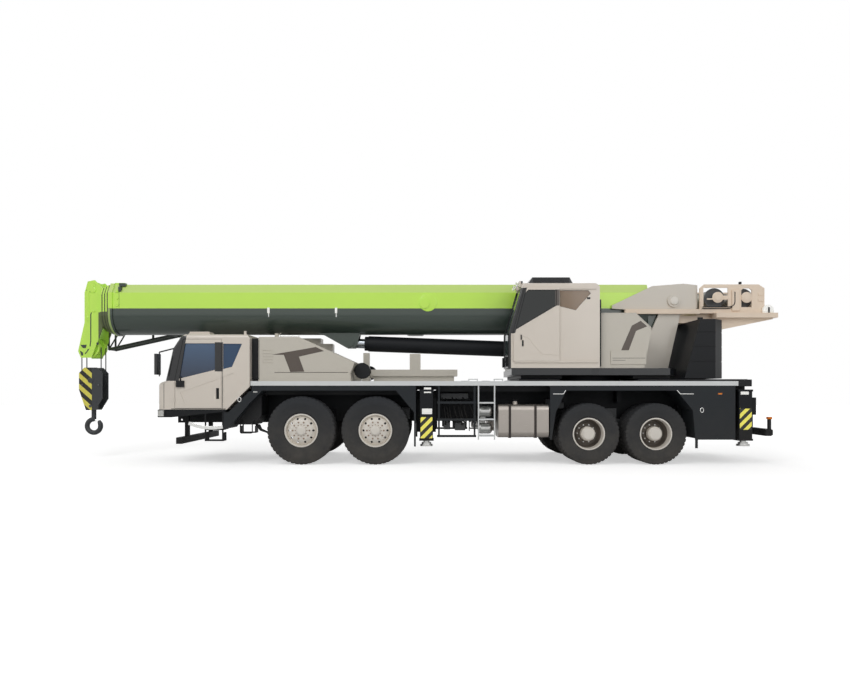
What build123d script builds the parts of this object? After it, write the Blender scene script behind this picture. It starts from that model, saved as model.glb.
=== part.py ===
from build123d import *
import os

# A four-axle telescopic truck crane, parked with its boom on the rest.
# Millimetres. X runs rearward, so the crane faces -X, Y runs to its right and Z up.
# The origin is on the ground, under the middle of the crane's box.

os.makedirs("parts", exist_ok=True)

# Clearances
seat = 0.3
slide_gap = 8
running_gap = 15
door_gap = 6

# Carrier: overall
half_width = 1400
deck_top = 1667
deck_rim = 90
deck_front_x = -3400
deck_rear_x = 6300
plate = 12

# Axles: x, tyre radius, tyre width, rim radius
front_tyre_radius = 682
front_tyre_width = 385
front_rim_radius = 318
rear_tyre_radius = 613
rear_tyre_width = 315
rear_rim_radius = 305
first_axle_x = -2400
second_axle_x = -920
third_axle_x = 3340
fourth_axle_x = 4680
front_wheel_y = 1197
outer_wheel_y = 1222
twin_spacing = 350
kingpin_y = 1117
differential_radius = 205

# Chassis frame
rail_inner_y = 330
rail_outer_y = 430
girder_half_width = 450
girder_bottom = 830
girder_top = 1480
front_rail_top = 1400
frame_joints = (-3890, -520, 6320)

# Slewing ring
slew_x = 3570
ring_radius = 760
ring_top = 1790

# Outriggers: the middle of each pair of beams, front and rear
outrigger_x = {"front": 100, "rear": 6450}
beam_width = 140
beam_height = 300
beam_wall = 12
beam_bottom = 810
beam_inner_end = 1100
housing_end_y = 1125
housing_half = 185
cap_y = 1133
cap_width = 380
cap_bottom = 640
cap_top = 1320
column_width = 260
column_bottom = 480
column_top = 1500
column_depth = 245
jack_radius = 60
foot_radius = 125
foot_bottom = 370

# Towing eyes at the front and the coupling's jaw at the rear
tow_eye_x = -5155
tow_eye_z = 850
eye_inner_y = 310
eye_thickness = 60
tow_bore_radius = 25
jaw_x = 7230
jaw_bottom = 1080
jaw_plate = 30

# Steps and lamps at the front
step_x = (-4320, -3975)
step_post = 24
fog_y = (860, 1060)
fog_z = (975, 1075)

# Driver's cab
cab_half_width = 1390
cab_rear_x = -3420
cab_floor_z = 1100
cab_roof_z = 2600
cab_wall = 50
belt_z = 1668
screen_half_width = 1230

# Superstructure
base_top = 1930
web_inner_y = 440
web_thickness = 60
pivot_x = 5350
pivot_z = 3380
pivot_radius = 60

# Boom: the outer section's cross section and the steps of the nested ones
boom_half_width = 420
boom_bottom = 2700
boom_top = 3760
boom_shoulder_z = boom_top - 190
boom_top_half = 300
boom_wall = 14
boom_step = 31
boom_front_x = -6700
boom_foot_x = 4850
collar_length = 58
collar_gap = 14
pad_gap = 0.5

# Lift cylinder: its pins on the turntable and on the boom, at rest
lift_base_x = 2600
lift_base_z = 2365
lift_eye_x = -1550
lift_eye_z = 2520
barrel_radius = 170
rod_radius = 105

# Hook block, under the sheaves of the boom head
sheave_x = -7220
sheave_z = 2420
sheave_radius = 210
rope_radius = 11
fall_y = (-105, 105)
sheave_half = 22
groove_depth = 16
# A rope at the sheaves' radius rests in the V groove of a head sheave this large.
head_sheave_radius = sheave_radius + 2


def block(x, y, z, mode=Mode.ADD):
    """A box between two values on each axis."""
    middle = ((x[0] + x[1]) / 2, (y[0] + y[1]) / 2, (z[0] + z[1]) / 2)
    with Locations(middle):
        Box(x[1] - x[0], y[1] - y[0], z[1] - z[0], mode=mode)


def side_slab(outline, y, mode=Mode.ADD):
    """A side outline of (x, z) points, as thick as the two y values say."""
    with BuildSketch(Plane.XZ.offset(-y[1])) as face:
        with BuildLine():
            Polyline(*outline, close=True)
        make_face()
    extrude(to_extrude=face.sketch, amount=y[1] - y[0], mode=mode)


def plan_slab(outline, z, mode=Mode.ADD):
    """A plan outline of (x, y) points between two heights."""
    with BuildSketch(Plane.XY.offset(z[0])) as face:
        with BuildLine():
            Polyline(*outline, close=True)
        make_face()
    extrude(to_extrude=face.sketch, amount=z[1] - z[0], mode=mode)



def bar(start, end, radius, mode=Mode.ADD):
    """A round bar or tube stub from one point to another."""
    run = Vector(*end) - Vector(*start)
    with BuildSketch(Plane(origin=start, z_dir=run)) as face:
        Circle(radius)
    extrude(to_extrude=face.sketch, amount=run.length, mode=mode)


def across(x, z, radius, y, mode=Mode.ADD):
    """A round pin or boss that lies across the crane."""
    bar((x, y[0], z), (x, y[1], z), radius, mode)


def pane(outline, y):
    """A sheet of glass that fills an outline but for the seat's clearance."""
    with BuildSketch(Plane.XZ.offset(-y[1])) as face:
        with BuildLine():
            Polyline(*outline, close=True)
        make_face()
        offset(amount=-seat, kind=Kind.INTERSECTION)
    extrude(to_extrude=face.sketch, amount=y[1] - y[0])


def keep(piece, name):
    """Name a finished piece and write it."""
    piece.part.label = name
    export_step(piece.part, f"parts/{name}.step")


def both(y):
    """The same stretch of width on the left and on the right."""
    return ((-y[1], -y[0]), (y[0], y[1]))


# Chassis frame: two rails beside the engine, a closed girder behind it,
# the outriggers' crosswise housings, the seat of the slewing ring and the tail
with BuildPart() as chassis_frame:
    for y in both((rail_inner_y, rail_outer_y)):
        side_slab(
            [
                (-5060, 800),
                (-5060, 1040),
                (-3480, 1040),
                (-3120, front_rail_top),
                (-400, front_rail_top),
                (-400, girder_bottom),
                (-2900, girder_bottom),
                (-3300, 800),
            ],
            y,
        )
    for x in (-5060, -3560, -1400):
        block((x, x + 90), (-rail_outer_y, rail_outer_y), (850, 990))
    block((-500, 6262), (-girder_half_width, girder_half_width), (girder_bottom, girder_top))
    with Locations((slew_x, 0, (girder_top + ring_top) / 2)):
        Cylinder(ring_radius, ring_top - girder_top)
    for x in (slew_x - 620, slew_x + 520):
        block((x, x + 100), (-700, 700), (girder_top - 250, girder_top))
    for middle in outrigger_x.values():
        block(
            (middle - housing_half, middle + housing_half),
            (-housing_end_y, housing_end_y),
            (beam_bottom - 20, beam_bottom + beam_height + 20),
        )
    block((6262, 7150), (-420, 420), (960, 1330))
    block((6960, 7080), (-1180, 1180), (560, 700))
    for y in both((300, 380)):
        block((6900, 7100), y, (700, 1000))
    # The front bumper, the under-run bar and its posts hang from the rails.
    side_slab(
        [(-5255, 945), (-5255, cab_floor_z), (-3900, cab_floor_z), (-3900, 1060), (-4980, 945)],
        (-1380, 1380),
    )
    block((-5250, -5060), (-rail_outer_y, rail_outer_y), (945, 1095))
    block((-4960, -4840), (-1190, 1190), (400, 530))
    for y in both((700, 790)):
        block((-4930, -4850), y, (525, 960))
    for middle in outrigger_x.values():
        for x in (middle - 90, middle + 90):
            block(
                (x - beam_width / 2 - slide_gap, x + beam_width / 2 + slide_gap),
                (-half_width, half_width),
                (beam_bottom - slide_gap, beam_bottom + beam_height + slide_gap),
                Mode.SUBTRACT,
            )
    for middle in outrigger_x.values():
        for x in (middle - 90, middle + 90):
            for y in both((housing_end_y - 100, housing_end_y)):
                block((x - 50, x + 50), y, (beam_bottom - slide_gap - 1, beam_bottom - seat))
    # Towing eyes under the bumper and the coupling's jaw on the tail.
    for y in both((eye_inner_y, eye_inner_y + eye_thickness)):
        block((tow_eye_x - 75, tow_eye_x + 75), y, (tow_eye_z - 60, 946))
        across(tow_eye_x, tow_eye_z, tow_bore_radius, (y[0] - 1, y[1] + 1), Mode.SUBTRACT)
    for z in (jaw_bottom, jaw_bottom + 100):
        block((7149, jaw_x + 80), (-90, 90), (z, z + jaw_plate))
    bar((jaw_x, 0, jaw_bottom - 1), (jaw_x, 0, jaw_bottom + 131), tow_bore_radius, Mode.SUBTRACT)
    # Steps below the cab's doors, the fog lamps' pockets, the lamp boxes of the tail.
    for y in both((1150, 1372)):
        for z in (470, 690):
            block((step_x[0], step_x[1] + step_post), y, (z, z + 22))
        for x in step_x:
            block((x, x + step_post), y, (480, 640))
    for y in both((1340, 1372)):
        for x in step_x:
            block((x, x + step_post), y, (470, 1050))
    for y in both(fog_y):
        block((-5256, -5225), y, fog_z, Mode.SUBTRACT)
    for y in both((860, 1150)):
        block((7079, 7120), y, (575, 685))
        for lamp in ((880, 960), (1040, 1120)):
            block((7119, 7132), (y[0] - 860 + lamp[0], y[0] - 860 + lamp[1]), (590, 670))
    # Arms that carry the tanks and the spring hangers of the four axles.
    for side in (-1, 1):
        for x in (1650, 2330):
            block((x, x + 80), sorted((side * girder_half_width, side * (760 - seat))), (900, 980))
    for axle_x in (first_axle_x, second_axle_x):
        for x in (axle_x - 560, axle_x + 500):
            for y in both((rail_outer_y, girder_half_width + 86)):
                block((x, x + 60), y, (880, 1060))
    # The frame is bolted together from four lengths.
    for x in frame_joints:
        block((x, x + seat), (-half_width, half_width), (300, ring_top + 50), Mode.SUBTRACT)
keep(chassis_frame, "chassis_frame")

# Deck: a flat plate with a deep pale rim, handles and a ladder on each side
deck_bottom = deck_top - deck_rim
ladder_x = (1124, 1444)
handle_rise = 36
with BuildPart() as deck:
    block((deck_front_x, deck_rear_x), (-half_width, half_width), (deck_bottom, deck_top))
    for x in ((deck_front_x + 30, slew_x - 900), (slew_x + 900, deck_rear_x - 30)):
        block(x, (-half_width + 30, half_width - 30), (deck_bottom, deck_top - plate), Mode.SUBTRACT)
    block((-3180, -1480), (-600, 600), (deck_bottom, deck_top), Mode.SUBTRACT)
    with Locations((slew_x, 0, deck_top)):
        Cylinder(ring_radius + running_gap, 4 * deck_rim, mode=Mode.SUBTRACT)
    for x in (-3330, -1440, -760):
        block((x, x + 60), (-half_width + 20, half_width - 20), (deck_bottom, deck_top - plate))
        for y in both((rail_inner_y, rail_outer_y)):
            block((x, x + 60), y, (front_rail_top + seat, deck_bottom + 1))
    for x in (600, 1900, 5300, 6200):
        block((x, x + 60), (-half_width + 20, half_width - 20), (deck_bottom, deck_top - plate))
        block((x, x + 60), (-girder_half_width, girder_half_width), (girder_top + seat, deck_bottom + 1))
    for y in both((1338, 1385)):
        for x in ladder_x:
            block((x, x + 24), y, (500, deck_bottom - seat))
    for y in both((1150, 1385)):
        for z in (560, 890, 1220):
            block((ladder_x[0] + 23, ladder_x[1] + 1), y, (z, z + 28))
    # A low handle on the deck beside each ladder rail.
    for y in (-half_width + 40, half_width - 40):
        for x in (ladder_x[0] - 190, ladder_x[1] - 6):
            for foot_x in (x + 12, x + 178):
                bar((foot_x, y, deck_top - 2), (foot_x, y, deck_top + handle_rise), 10)
            bar((x, y, deck_top + handle_rise), (x + 190, y, deck_top + handle_rise), 10)
keep(deck, "deck")

# Fenders: dark side panels with chamfered arches, their inner liners,
# the guard tubes between the outrigger and the ladder
panel_y = (1365, 1390)
liner_y = (775, 1385)
liner = 14
front_arch = [
    (-3847, 300),
    (-3847, 724),
    (-3423, 1226),
    (-3170, 1478),
    (-507, 1478),
    (-149, 1047),
    (-149, 300),
]
rear_arch = [
    (2595, 300),
    (2595, 527),
    (2674, 1047),
    (2880, 1478),
    (5076, 1478),
    (5398, 1088),
    (5454, 480),
    (5454, 300),
]
front_panel = [
    (-3940, 713),
    (-3940, 1045),
    (-3845, 1045),
    (-3425, 1465),
    (-3380, 1465),
    (-3380, deck_bottom - seat),
    (-112, deck_bottom - seat),
    (-112, 364),
    (-149, 364),
    (-149, 713),
]
rear_panel = [
    (2560, 500),
    (2560, deck_bottom - seat),
    (6245, deck_bottom - seat),
    (6245, 500),
    (5500, 500),
    (5500, 330),
    (5440, 330),
    (5440, 500),
]


def arch_liner(outline, y, floor_z):
    """A bent sheet that follows an arch from inside, open below."""
    with BuildSketch(Plane.XZ.offset(-y[1])) as sheet:
        with BuildLine():
            Polyline(*outline, close=True)
        make_face()
        offset(amount=liner, kind=Kind.INTERSECTION)
        with BuildLine():
            Polyline(*outline, close=True)
        make_face(mode=Mode.SUBTRACT)
        with Locations((0, floor_z - 1000)):
            Rectangle(16000, 2000, mode=Mode.SUBTRACT)
    extrude(to_extrude=sheet.sketch, amount=y[1] - y[0])


with BuildPart() as fenders:
    for y in both(panel_y):
        side_slab(front_panel, y)
        side_slab(front_arch, y, Mode.SUBTRACT)
        side_slab(rear_panel, y)
        side_slab(rear_arch, y, Mode.SUBTRACT)
    for y in both(liner_y):
        arch_liner(front_arch, y, 724)
        arch_liner(rear_arch, y, 527)
    for y in both((1340, 1380)):
        for z in (572, 900, 1240):
            block((310, 1090), y, (z - 22, z + 22))
        for x in (330, 1040):
            block((x, x + 36), y, (550, deck_bottom - seat))
keep(fenders, "fenders")

# Engine: one plain block between the rails
with BuildPart() as engine:
    block((-3000, -1750), (-rail_inner_y + seat, rail_inner_y - seat), (940, 2040))
keep(engine, "engine")

# Hood: a housing on each side of the engine, joined by the radiator's cowl,
# with the intake boxes inside and the short stack on top
hood_outer_y = 1285
hood_inner_y = 640
hood_front_x = deck_front_x + 130
hood_side = [
    (hood_front_x, deck_top + seat),
    (hood_front_x, 2560),
    (-2475, 2560),
    (-1345, 2047),
    (-1425, 1835),
    (-1410, deck_top + seat),
]
with BuildPart() as engine_hood:
    for y in both((hood_inner_y, hood_outer_y)):
        side_slab(hood_side, y)
    rims = engine_hood.edges().filter_by(
        lambda edge: abs(abs(edge.center().Y) - hood_outer_y) < 1
        and edge.center().Z > 1900
        and edge.center().X < -1500
        and edge.center().X > hood_front_x + 10
    )
    chamfer(rims, 30)
    # The raised band along the foot of each side and the slots above it
    for y in both((hood_outer_y - 1, hood_outer_y + 12)):
        side_slab(
            [(-2990, deck_top + seat), (-2852, 1835), (-1440, 1835), (-1425, deck_top + seat)],
            y,
        )
    for y in both((hood_outer_y - 8, hood_outer_y + 1)):
        for number in range(5):
            block((-3180, -2980), y, (2020 + 60 * number, 2045 + 60 * number), Mode.SUBTRACT)
    block((hood_front_x, -3060), (-hood_inner_y - 1, hood_inner_y + 1), (deck_top + seat, 2480))
    block((-3100, -2300), (-hood_inner_y - 1, hood_inner_y + 1), (2060, 2200))
    block((-2700, -2250), (150, 520), (2190, 2640))
    block((-2255, -1990), (180, 480), (2060, 2520))
    bar((-2990, -900, 2555), (-2990, -900, 2655), 42)
    bar((-2975, -900, 2600), (-2900, -900, 2665), 6)
keep(engine_hood, "engine_hood")

# Driver's cab: a hollow shell with its windows and door openings cut
cab_side = [
    (-5255, cab_floor_z + seat),
    (-5255, 1625),
    (-5110, belt_z),
    (-4960, 2322),
    (-4800, 2560),
    (-4730, cab_roof_z),
    (-3480, cab_roof_z),
    (cab_rear_x, 2530),
    (cab_rear_x, 1560),
    (-3880, cab_floor_z + seat),
]
door_outline = [(-4905, 1130), (-4905, 1690), (-4738, 2500), (-3985, 2500), (-3985, 1130)]
door_window = [(-4820, 1715), (-4700, 2420), (-4110, 2420), (-4110, 1890)]
quarter_window = [(-3950, 1905), (-3950, 2415), (-3570, 2410), (-3770, 1950)]


def side_edges(piece, y):
    """The edges of a piece that lie in its two side faces."""
    return [edge for edge in piece.edges() if abs(abs(edge.center().Y) - y) < 1]


door_y = (1344, cab_half_width)
pane_y = (1360, 1368)
press_depth = 8
lamp_y = (760, 1120)
lamp_z = (1160, 1330)
hinge_x = -4908
hinge_radius = 11
hinge_y = cab_half_width + hinge_radius
hinge_heights = (1290, 1590)
hinge_half = 20
hinge_pin = 6
with BuildPart() as cab_shell:
    side_slab(cab_side, (-cab_half_width, cab_half_width))
    corners = [edge for edge in side_edges(cab_shell, cab_half_width) if edge.center().X < -5200]
    fillet(corners, radius=110)
    pillars = [
        edge
        for edge in side_edges(cab_shell, cab_half_width)
        if edge.center().Z > 2590 or (edge.center().X < -4750 and edge.center().Z > 1640)
    ]
    fillet(pillars, radius=70)
    side_slab(
        [
            (-5205, cab_floor_z + 50),
            (-5205, 1590),
            (-5062, 1640),
            (-4912, 2300),
            (-4760, 2540),
            (-4710, 2555),
            (-3500, 2555),
            (cab_rear_x - cab_wall, 2510),
            (cab_rear_x - cab_wall, 1580),
            (-3900, cab_floor_z + 50),
        ],
        (-1340, 1340),
        Mode.SUBTRACT,
    )
    for y in both((1330, 1400)):
        side_slab(
            [
                (-4905 - door_gap, 1130 - door_gap),
                (-4905 - door_gap, 1690),
                (-4738 - door_gap, 2500 + door_gap),
                (-3985 + door_gap, 2500 + door_gap),
                (-3985 + door_gap, 1130 - door_gap),
            ],
            y,
            Mode.SUBTRACT,
        )
        side_slab(quarter_window, y, Mode.SUBTRACT)
    side_slab(
        [(-5250, 1735), (-5060, 1735), (-4700, 2470), (-4880, 2480)],
        (-screen_half_width, screen_half_width),
        Mode.SUBTRACT,
    )
    block((-3500, -3400), (-600, 600), (2050, 2400), Mode.SUBTRACT)
    # The grille's opening with its slats, and the pockets of the headlamps
    block((-5256, -5225), (-620, 620), (1240, 1500), Mode.SUBTRACT)
    for number in range(4):
        side_slab(
            [
                (-5253, 1262 + 60 * number),
                (-5224, 1282 + 60 * number),
                (-5224, 1302 + 60 * number),
                (-5253, 1282 + 60 * number),
            ],
            (-621, 621),
        )
    for y in both(lamp_y):
        block((-5256, -5215), y, lamp_z, Mode.SUBTRACT)
    # A pressed step along the side, from the sill to the window's rear corner
    for y in both((cab_half_width - press_depth, cab_half_width + 1)):
        side_slab(
            [(-3960, 1745), (-3740, 1830), (-3560, 1600), (-3900, 1237), (-3960, 1237)],
            y,
            Mode.SUBTRACT,
        )
    side_slab([(-4740, 2590), (-4690, 2672), (-4310, 2672), (-4260, 2590)], (-1150, -850))
    side_slab([(-4740, 2590), (-4690, 2672), (-4310, 2672), (-4260, 2590)], (850, 1150))
    for y in (-1300, 1300):
        bar((-3530, y, 2590), (-3530, y, 2670), 26)
    # Lugs and pins of the door hinges, above and below each leaf's barrel
    for side in (-1, 1):
        for z in hinge_heights:
            pin_y = side * hinge_y
            for low in (z - 2 * hinge_half, z + hinge_half + seat):
                bar((hinge_x, pin_y, low), (hinge_x, pin_y, low + hinge_half - seat), hinge_radius)
                block(
                    (hinge_x - 50, hinge_x),
                    sorted((side * (cab_half_width - 1), side * (cab_half_width + 5))),
                    (low, low + hinge_half - seat),
                )
            bar((hinge_x, pin_y, z - hinge_half - 1), (hinge_x, pin_y, z + hinge_half + 1), hinge_pin)
    # Mirror arms and mirrors at the front corners
    for side in (-1, 1):
        bar((-4930, side * 1300, 2330), (-5190, side * 1450, 2240), 14)
        bar((-5190, side * 1450, 2245), (-5190, side * 1450, 1760), 12)
        block((-5215, -5165), sorted((side * 1440, side * 1640)), (1790, 2200))
keep(cab_shell, "cab_shell")


def doorway(side):
    """The width of a door leaf on one side of the crane."""
    return tuple(sorted((side * door_y[0], side * door_y[1])))


# Doors: each a thick leaf with a recessed handle, and its pane set in the window
for name, side in (("left", -1), ("right", 1)):
    with BuildPart() as cab_door:
        side_slab(door_outline, doorway(side))
        side_slab(door_window, sorted((side * 1300, side * 1400)), Mode.SUBTRACT)
        side_slab(
            [(-4800, 1440), (-3990, 1732), (-3990, 1237), (-4705, 1202)],
            sorted((side * (cab_half_width - press_depth), side * (cab_half_width + 1))),
            Mode.SUBTRACT,
        )
        block((-4090, -4030), sorted((side * 1368, side * 1400)), (1310, 1530), Mode.SUBTRACT)
        pane(door_window, sorted((side * pane_y[0], side * pane_y[1])))
        for z in hinge_heights:
            ends = ((hinge_x, side * hinge_y, z - hinge_half), (hinge_x, side * hinge_y, z + hinge_half))
            block(
                (hinge_x, hinge_x + 50),
                sorted((side * (cab_half_width - 1), side * (cab_half_width + 5))),
                (z - hinge_half, z + hinge_half),
            )
            bar(*ends, hinge_radius)
            bar(*ends, hinge_pin + seat, Mode.SUBTRACT)
    keep(cab_door, f"cab_door_{name}")

# Panes of the cab: the windscreen, the rear window and the quarter windows
screen_pane = [(-5086, 1735 + seat), (-4920, 2455), (-4904, 2455), (-5070, 1735 + seat)]
with BuildPart() as cab_glass:
    side_slab(screen_pane, (-screen_half_width + seat, screen_half_width - seat))
    block((-3450, -3442), (-600 + seat, 600 - seat), (2050 + seat, 2400 - seat))
    for y in both(pane_y):
        pane(quarter_window, y)
    # The lenses of the headlamps and of the fog lamps below them
    for y in both((lamp_y[0] + seat, lamp_y[1] - seat)):
        block((-5250, -5215 - seat), y, (lamp_z[0] + seat, lamp_z[1] - seat))
    for y in both((fog_y[0] + seat, fog_y[1] - seat)):
        block((-5250, -5225 - seat), y, (fog_z[0] + seat, fog_z[1] - seat))
keep(cab_glass, "cab_glass")

# Inside the cab: a floor mat that carries two seats, the dash and the wheel
with BuildPart() as cab_interior:
    block((-5150, -3920), (-1280, 1280), (1150 + 2 * seat, 1170))
    side_slab([(-5150, 1160), (-5150, 1560), (-4890, 1640), (-4830, 1500), (-4960, 1160)], (-1280, 1280))
    for y in (-750, 750):
        block((-4450, -3960), (y - 250, y + 250), (1169, 1560))
        side_slab([(-4080, 1550), (-3900, 2230), (-3800, 2230), (-3960, 1550)], (y - 240, y + 240))
        block((-3880, -3790), (y - 140, y + 140), (2225, 2400))
    bar((-4900, -750, 1560), (-4660, -750, 1740), 35)
    with Locations(Location((-4665, -750, 1738), (0, -53, 0))):
        Torus(215, 17)
    bar((-4665, -960, 1738), (-4665, -540, 1738), 16)
keep(cab_interior, "cab_interior")

# Axles: steered beams and driven housings, each with its leaf springs
spring_y = (girder_half_width + 6, girder_half_width + 86)
with BuildPart() as axles:
    for x in (first_axle_x, second_axle_x):
        block((x - 65, x + 65), (-1020, 1020), (600, 760))
        for y in (-kingpin_y, kingpin_y):
            bar((x, y, 612), (x, y, 752), 85)
            bar((x, y * 0.9, 682), (x, y, 682), 60)
        for y in both(spring_y):
            side_slab(
                [
                    (x - 560, 860),
                    (x - 560, 880 - seat),
                    (x + 560, 880 - seat),
                    (x + 560, 860),
                    (x + 120, 758),
                    (x - 120, 758),
                ],
                y,
            )
        for y in (-kingpin_y, kingpin_y):
            bar((x, y, 600), (x, y, 765), 25 + seat, Mode.SUBTRACT)
    for x in (third_axle_x, fourth_axle_x):
        across(x, rear_tyre_radius, 110, (-1040, 1040))
        across(x, rear_tyre_radius, 190, (700, 1000))
        across(x, rear_tyre_radius, 190, (-1000, -700))
        across(x, rear_tyre_radius, 60, (-1190, 1190))
        with Locations((x, 0, rear_tyre_radius)):
            Sphere(differential_radius)
        for y in both((480, 560)):
            block((x - 60, x + 60), y, (700, 790))
    middle = (third_axle_x + fourth_axle_x) / 2
    for y in both((480, 560)):
        side_slab(
            [
                (third_axle_x - 160, 780),
                (middle - 150, 880),
                (middle + 150, 880),
                (fourth_axle_x + 160, 780),
                (fourth_axle_x + 160, 740),
                (third_axle_x - 160, 740),
            ],
            y,
        )
    for y in both((470, 560)):
        block((middle - 110, middle + 110), y, (850, 1100))
    for side in (-1, 1):
        inner = side * (girder_half_width + seat)
        block((middle - 110, middle + 110), sorted((inner, side * 500)), (900, 1100))
keep(axles, "axles")

# Side tanks: a strapped fuel tank and two small air tanks on each side
fuel_x = (1535, 2535)
fuel_z = (540, 1200)
tank_y = (760, 1375)
with BuildPart() as side_tanks:
    for y in both(tank_y):
        block(fuel_x, y, fuel_z)
    fillet(side_tanks.edges().filter_by(Axis.X), radius=110)
    for y in both((tank_y[0], tank_y[1] + 8)):
        for x in (1760, 2270):
            block((x - 25, x + 25), y, (fuel_z[0] - 6, fuel_z[1] + 6))
    for side in (-1, 1):
        bar((1900, side * 1100, fuel_z[1] - 5), (1900, side * 1100, fuel_z[1] + 60), 60)
keep(side_tanks, "side_tanks")

air_tank_z = (705, 1054)
with BuildPart() as air_tanks:
    for side in (-1, 1):
        for z in air_tank_z:
            bar((1150, side * 1000, z), (1440, side * 1000, z), 108)
    fillet(air_tanks.edges().filter_by(GeomType.CIRCLE), radius=60)
    for side in (-1, 1):
        for z in air_tank_z:
            inner = side * (girder_half_width + seat)
            block((1230, 1360), sorted((inner, side * 960)), (z - 15, z + 15))
            for x in (1225, 1345):
                bar((x, side * 1000, z), (x + 20, side * 1000, z), 112)
        block((1240, 1350), sorted((side * (girder_half_width + seat), side * 560)), (690, 1070))
keep(air_tanks, "air_tanks")

# Boom rest: a trestle behind the engine and a long beam with its post
with BuildPart() as boom_rest:
    block((-1300, -1130), (-170, 170), (deck_top + seat, 1800))
    block((-1280, -1150), (-90, 90), (1790, 2300))
    side_slab([(-1040, 1790), (-1090, 1830), (-1090, 1930), (770, 1930), (770, 1790)], (-300, 300))
    block((-1040, 700), (-240, 240), (deck_top + seat, 1800))
    block((-260, -30), (-300, -180), (1925, 2270))
    block((-260, -30), (180, 300), (1925, 2270))
    block((-1140, -1030), (-60, 60), (1750, 1850))
keep(boom_rest, "boom_rest")

# Steered wheels: knuckle, convex rim and single tyre at each corner
steered = {
    "first_left": (first_axle_x, -1),
    "first_right": (first_axle_x, 1),
    "second_left": (second_axle_x, -1),
    "second_right": (second_axle_x, 1),
}
driven = {
    "third_left": (third_axle_x, -1),
    "third_right": (third_axle_x, 1),
    "fourth_left": (fourth_axle_x, -1),
    "fourth_right": (fourth_axle_x, 1),
}


def ring(outline, x, z, side):
    """A turned piece about a wheel's axis, from (distance outward, radius) points."""
    with BuildSketch(Plane(origin=(x, 0, z), x_dir=(0, side, 0), z_dir=(1, 0, 0))) as face:
        with BuildLine():
            Polyline(*outline, close=True)
        make_face()
    revolve(profiles=face.sketch, axis=Axis((x, 0, z), (0, 1, 0)))


def sheave(x, z, radius, y):
    """A rope sheave: a hub, a thin web and a grooved rim, turned about its pin."""
    middle = (y[0] + y[1]) / 2
    ring(
        [
            (y[0], 30),
            (y[0], 65),
            (middle - 9, 75),
            (middle - 9, radius - 42),
            (y[0], radius - 30),
            (y[0], radius),
            (middle, radius - groove_depth),
            (y[1], radius),
            (y[1], radius - 30),
            (middle + 9, radius - 42),
            (middle + 9, 75),
            (y[1], 65),
            (y[1], 30),
        ],
        x,
        z,
        1,
    )


def tyre_outline(middle, width, radius, bead):
    """Half section of a tyre: bead, bulged side wall, shoulder and flat tread."""
    half = width / 2
    return [
        (middle - half * 0.77, bead),
        (middle - half * 0.78, bead + 22),
        (middle - half * 0.98, bead + (radius - bead) * 0.35),
        (middle - half, bead + (radius - bead) * 0.60),
        (middle - half * 0.93, radius - 22),
        (middle - half * 0.80, radius),
        (middle + half * 0.80, radius),
        (middle + half * 0.93, radius - 22),
        (middle + half, bead + (radius - bead) * 0.60),
        (middle + half * 0.98, bead + (radius - bead) * 0.35),
        (middle + half * 0.78, bead + 22),
        (middle + half * 0.77, bead),
    ]


for name, (x, side) in steered.items():
    z = front_tyre_radius
    with BuildPart() as knuckle:
        pin_y = side * kingpin_y
        bar((x, pin_y, 555), (x, pin_y, 606), 80)
        bar((x, pin_y, 758), (x, pin_y, 809), 80)
        bar((x, pin_y, 600), (x, pin_y, 765), 25)
        block((x - 70, x + 70), sorted((side * (kingpin_y + 90), side * (kingpin_y + 120))), (555, 809))
        block((x - 50, x + 50), sorted((side * kingpin_y, side * (kingpin_y + 95))), (555, 604))
        block((x - 50, x + 50), sorted((side * kingpin_y, side * (kingpin_y + 95))), (760, 809))
        across(x, z, 195, sorted((side * (kingpin_y + 119), side * (kingpin_y + 150))))
        across(x, z, 45, sorted((side * (kingpin_y + 149), side * 1373)))
    keep(knuckle, f"knuckle_{name}")
    with BuildPart() as tyre:
        bead = front_rim_radius + seat
        ring(tyre_outline(front_wheel_y, front_tyre_width, front_tyre_radius, bead), x, z, side)
    keep(tyre, f"tyre_{name}")
    with BuildPart() as rim:
        half = front_tyre_width / 2
        ring(
            [
                (front_wheel_y - half * 0.84, front_rim_radius + 16),
                (front_wheel_y - half * 0.84, front_rim_radius - 18),
                (front_wheel_y + 60, front_rim_radius - 24),
                (front_wheel_y + 135, 215),
                (front_wheel_y + 150, 190),
                (front_wheel_y + 150, 45 + seat),
                (front_wheel_y + 178, 45 + seat),
                (front_wheel_y + 178, 80),
                (front_wheel_y + 166, 190),
                (front_wheel_y + 152, 222),
                (front_wheel_y + 84, front_rim_radius - 20),
                (front_wheel_y + half * 0.84, front_rim_radius - 8),
                (front_wheel_y + half * 0.84, front_rim_radius + 16),
                (front_wheel_y + half * 0.79, front_rim_radius + 16),
                (front_wheel_y + half * 0.79, front_rim_radius),
                (front_wheel_y - half * 0.79, front_rim_radius),
                (front_wheel_y - half * 0.79, front_rim_radius + 16),
            ],
            x,
            z,
            side,
        )
        disc = Plane(origin=(x, side * (front_wheel_y + 110), z), x_dir=(1, 0, 0), z_dir=(0, 1, 0))
        with Locations(disc):
            with PolarLocations(240, 10):
                Cylinder(22, 180, mode=Mode.SUBTRACT)
    keep(rim, f"rim_{name}")

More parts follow.
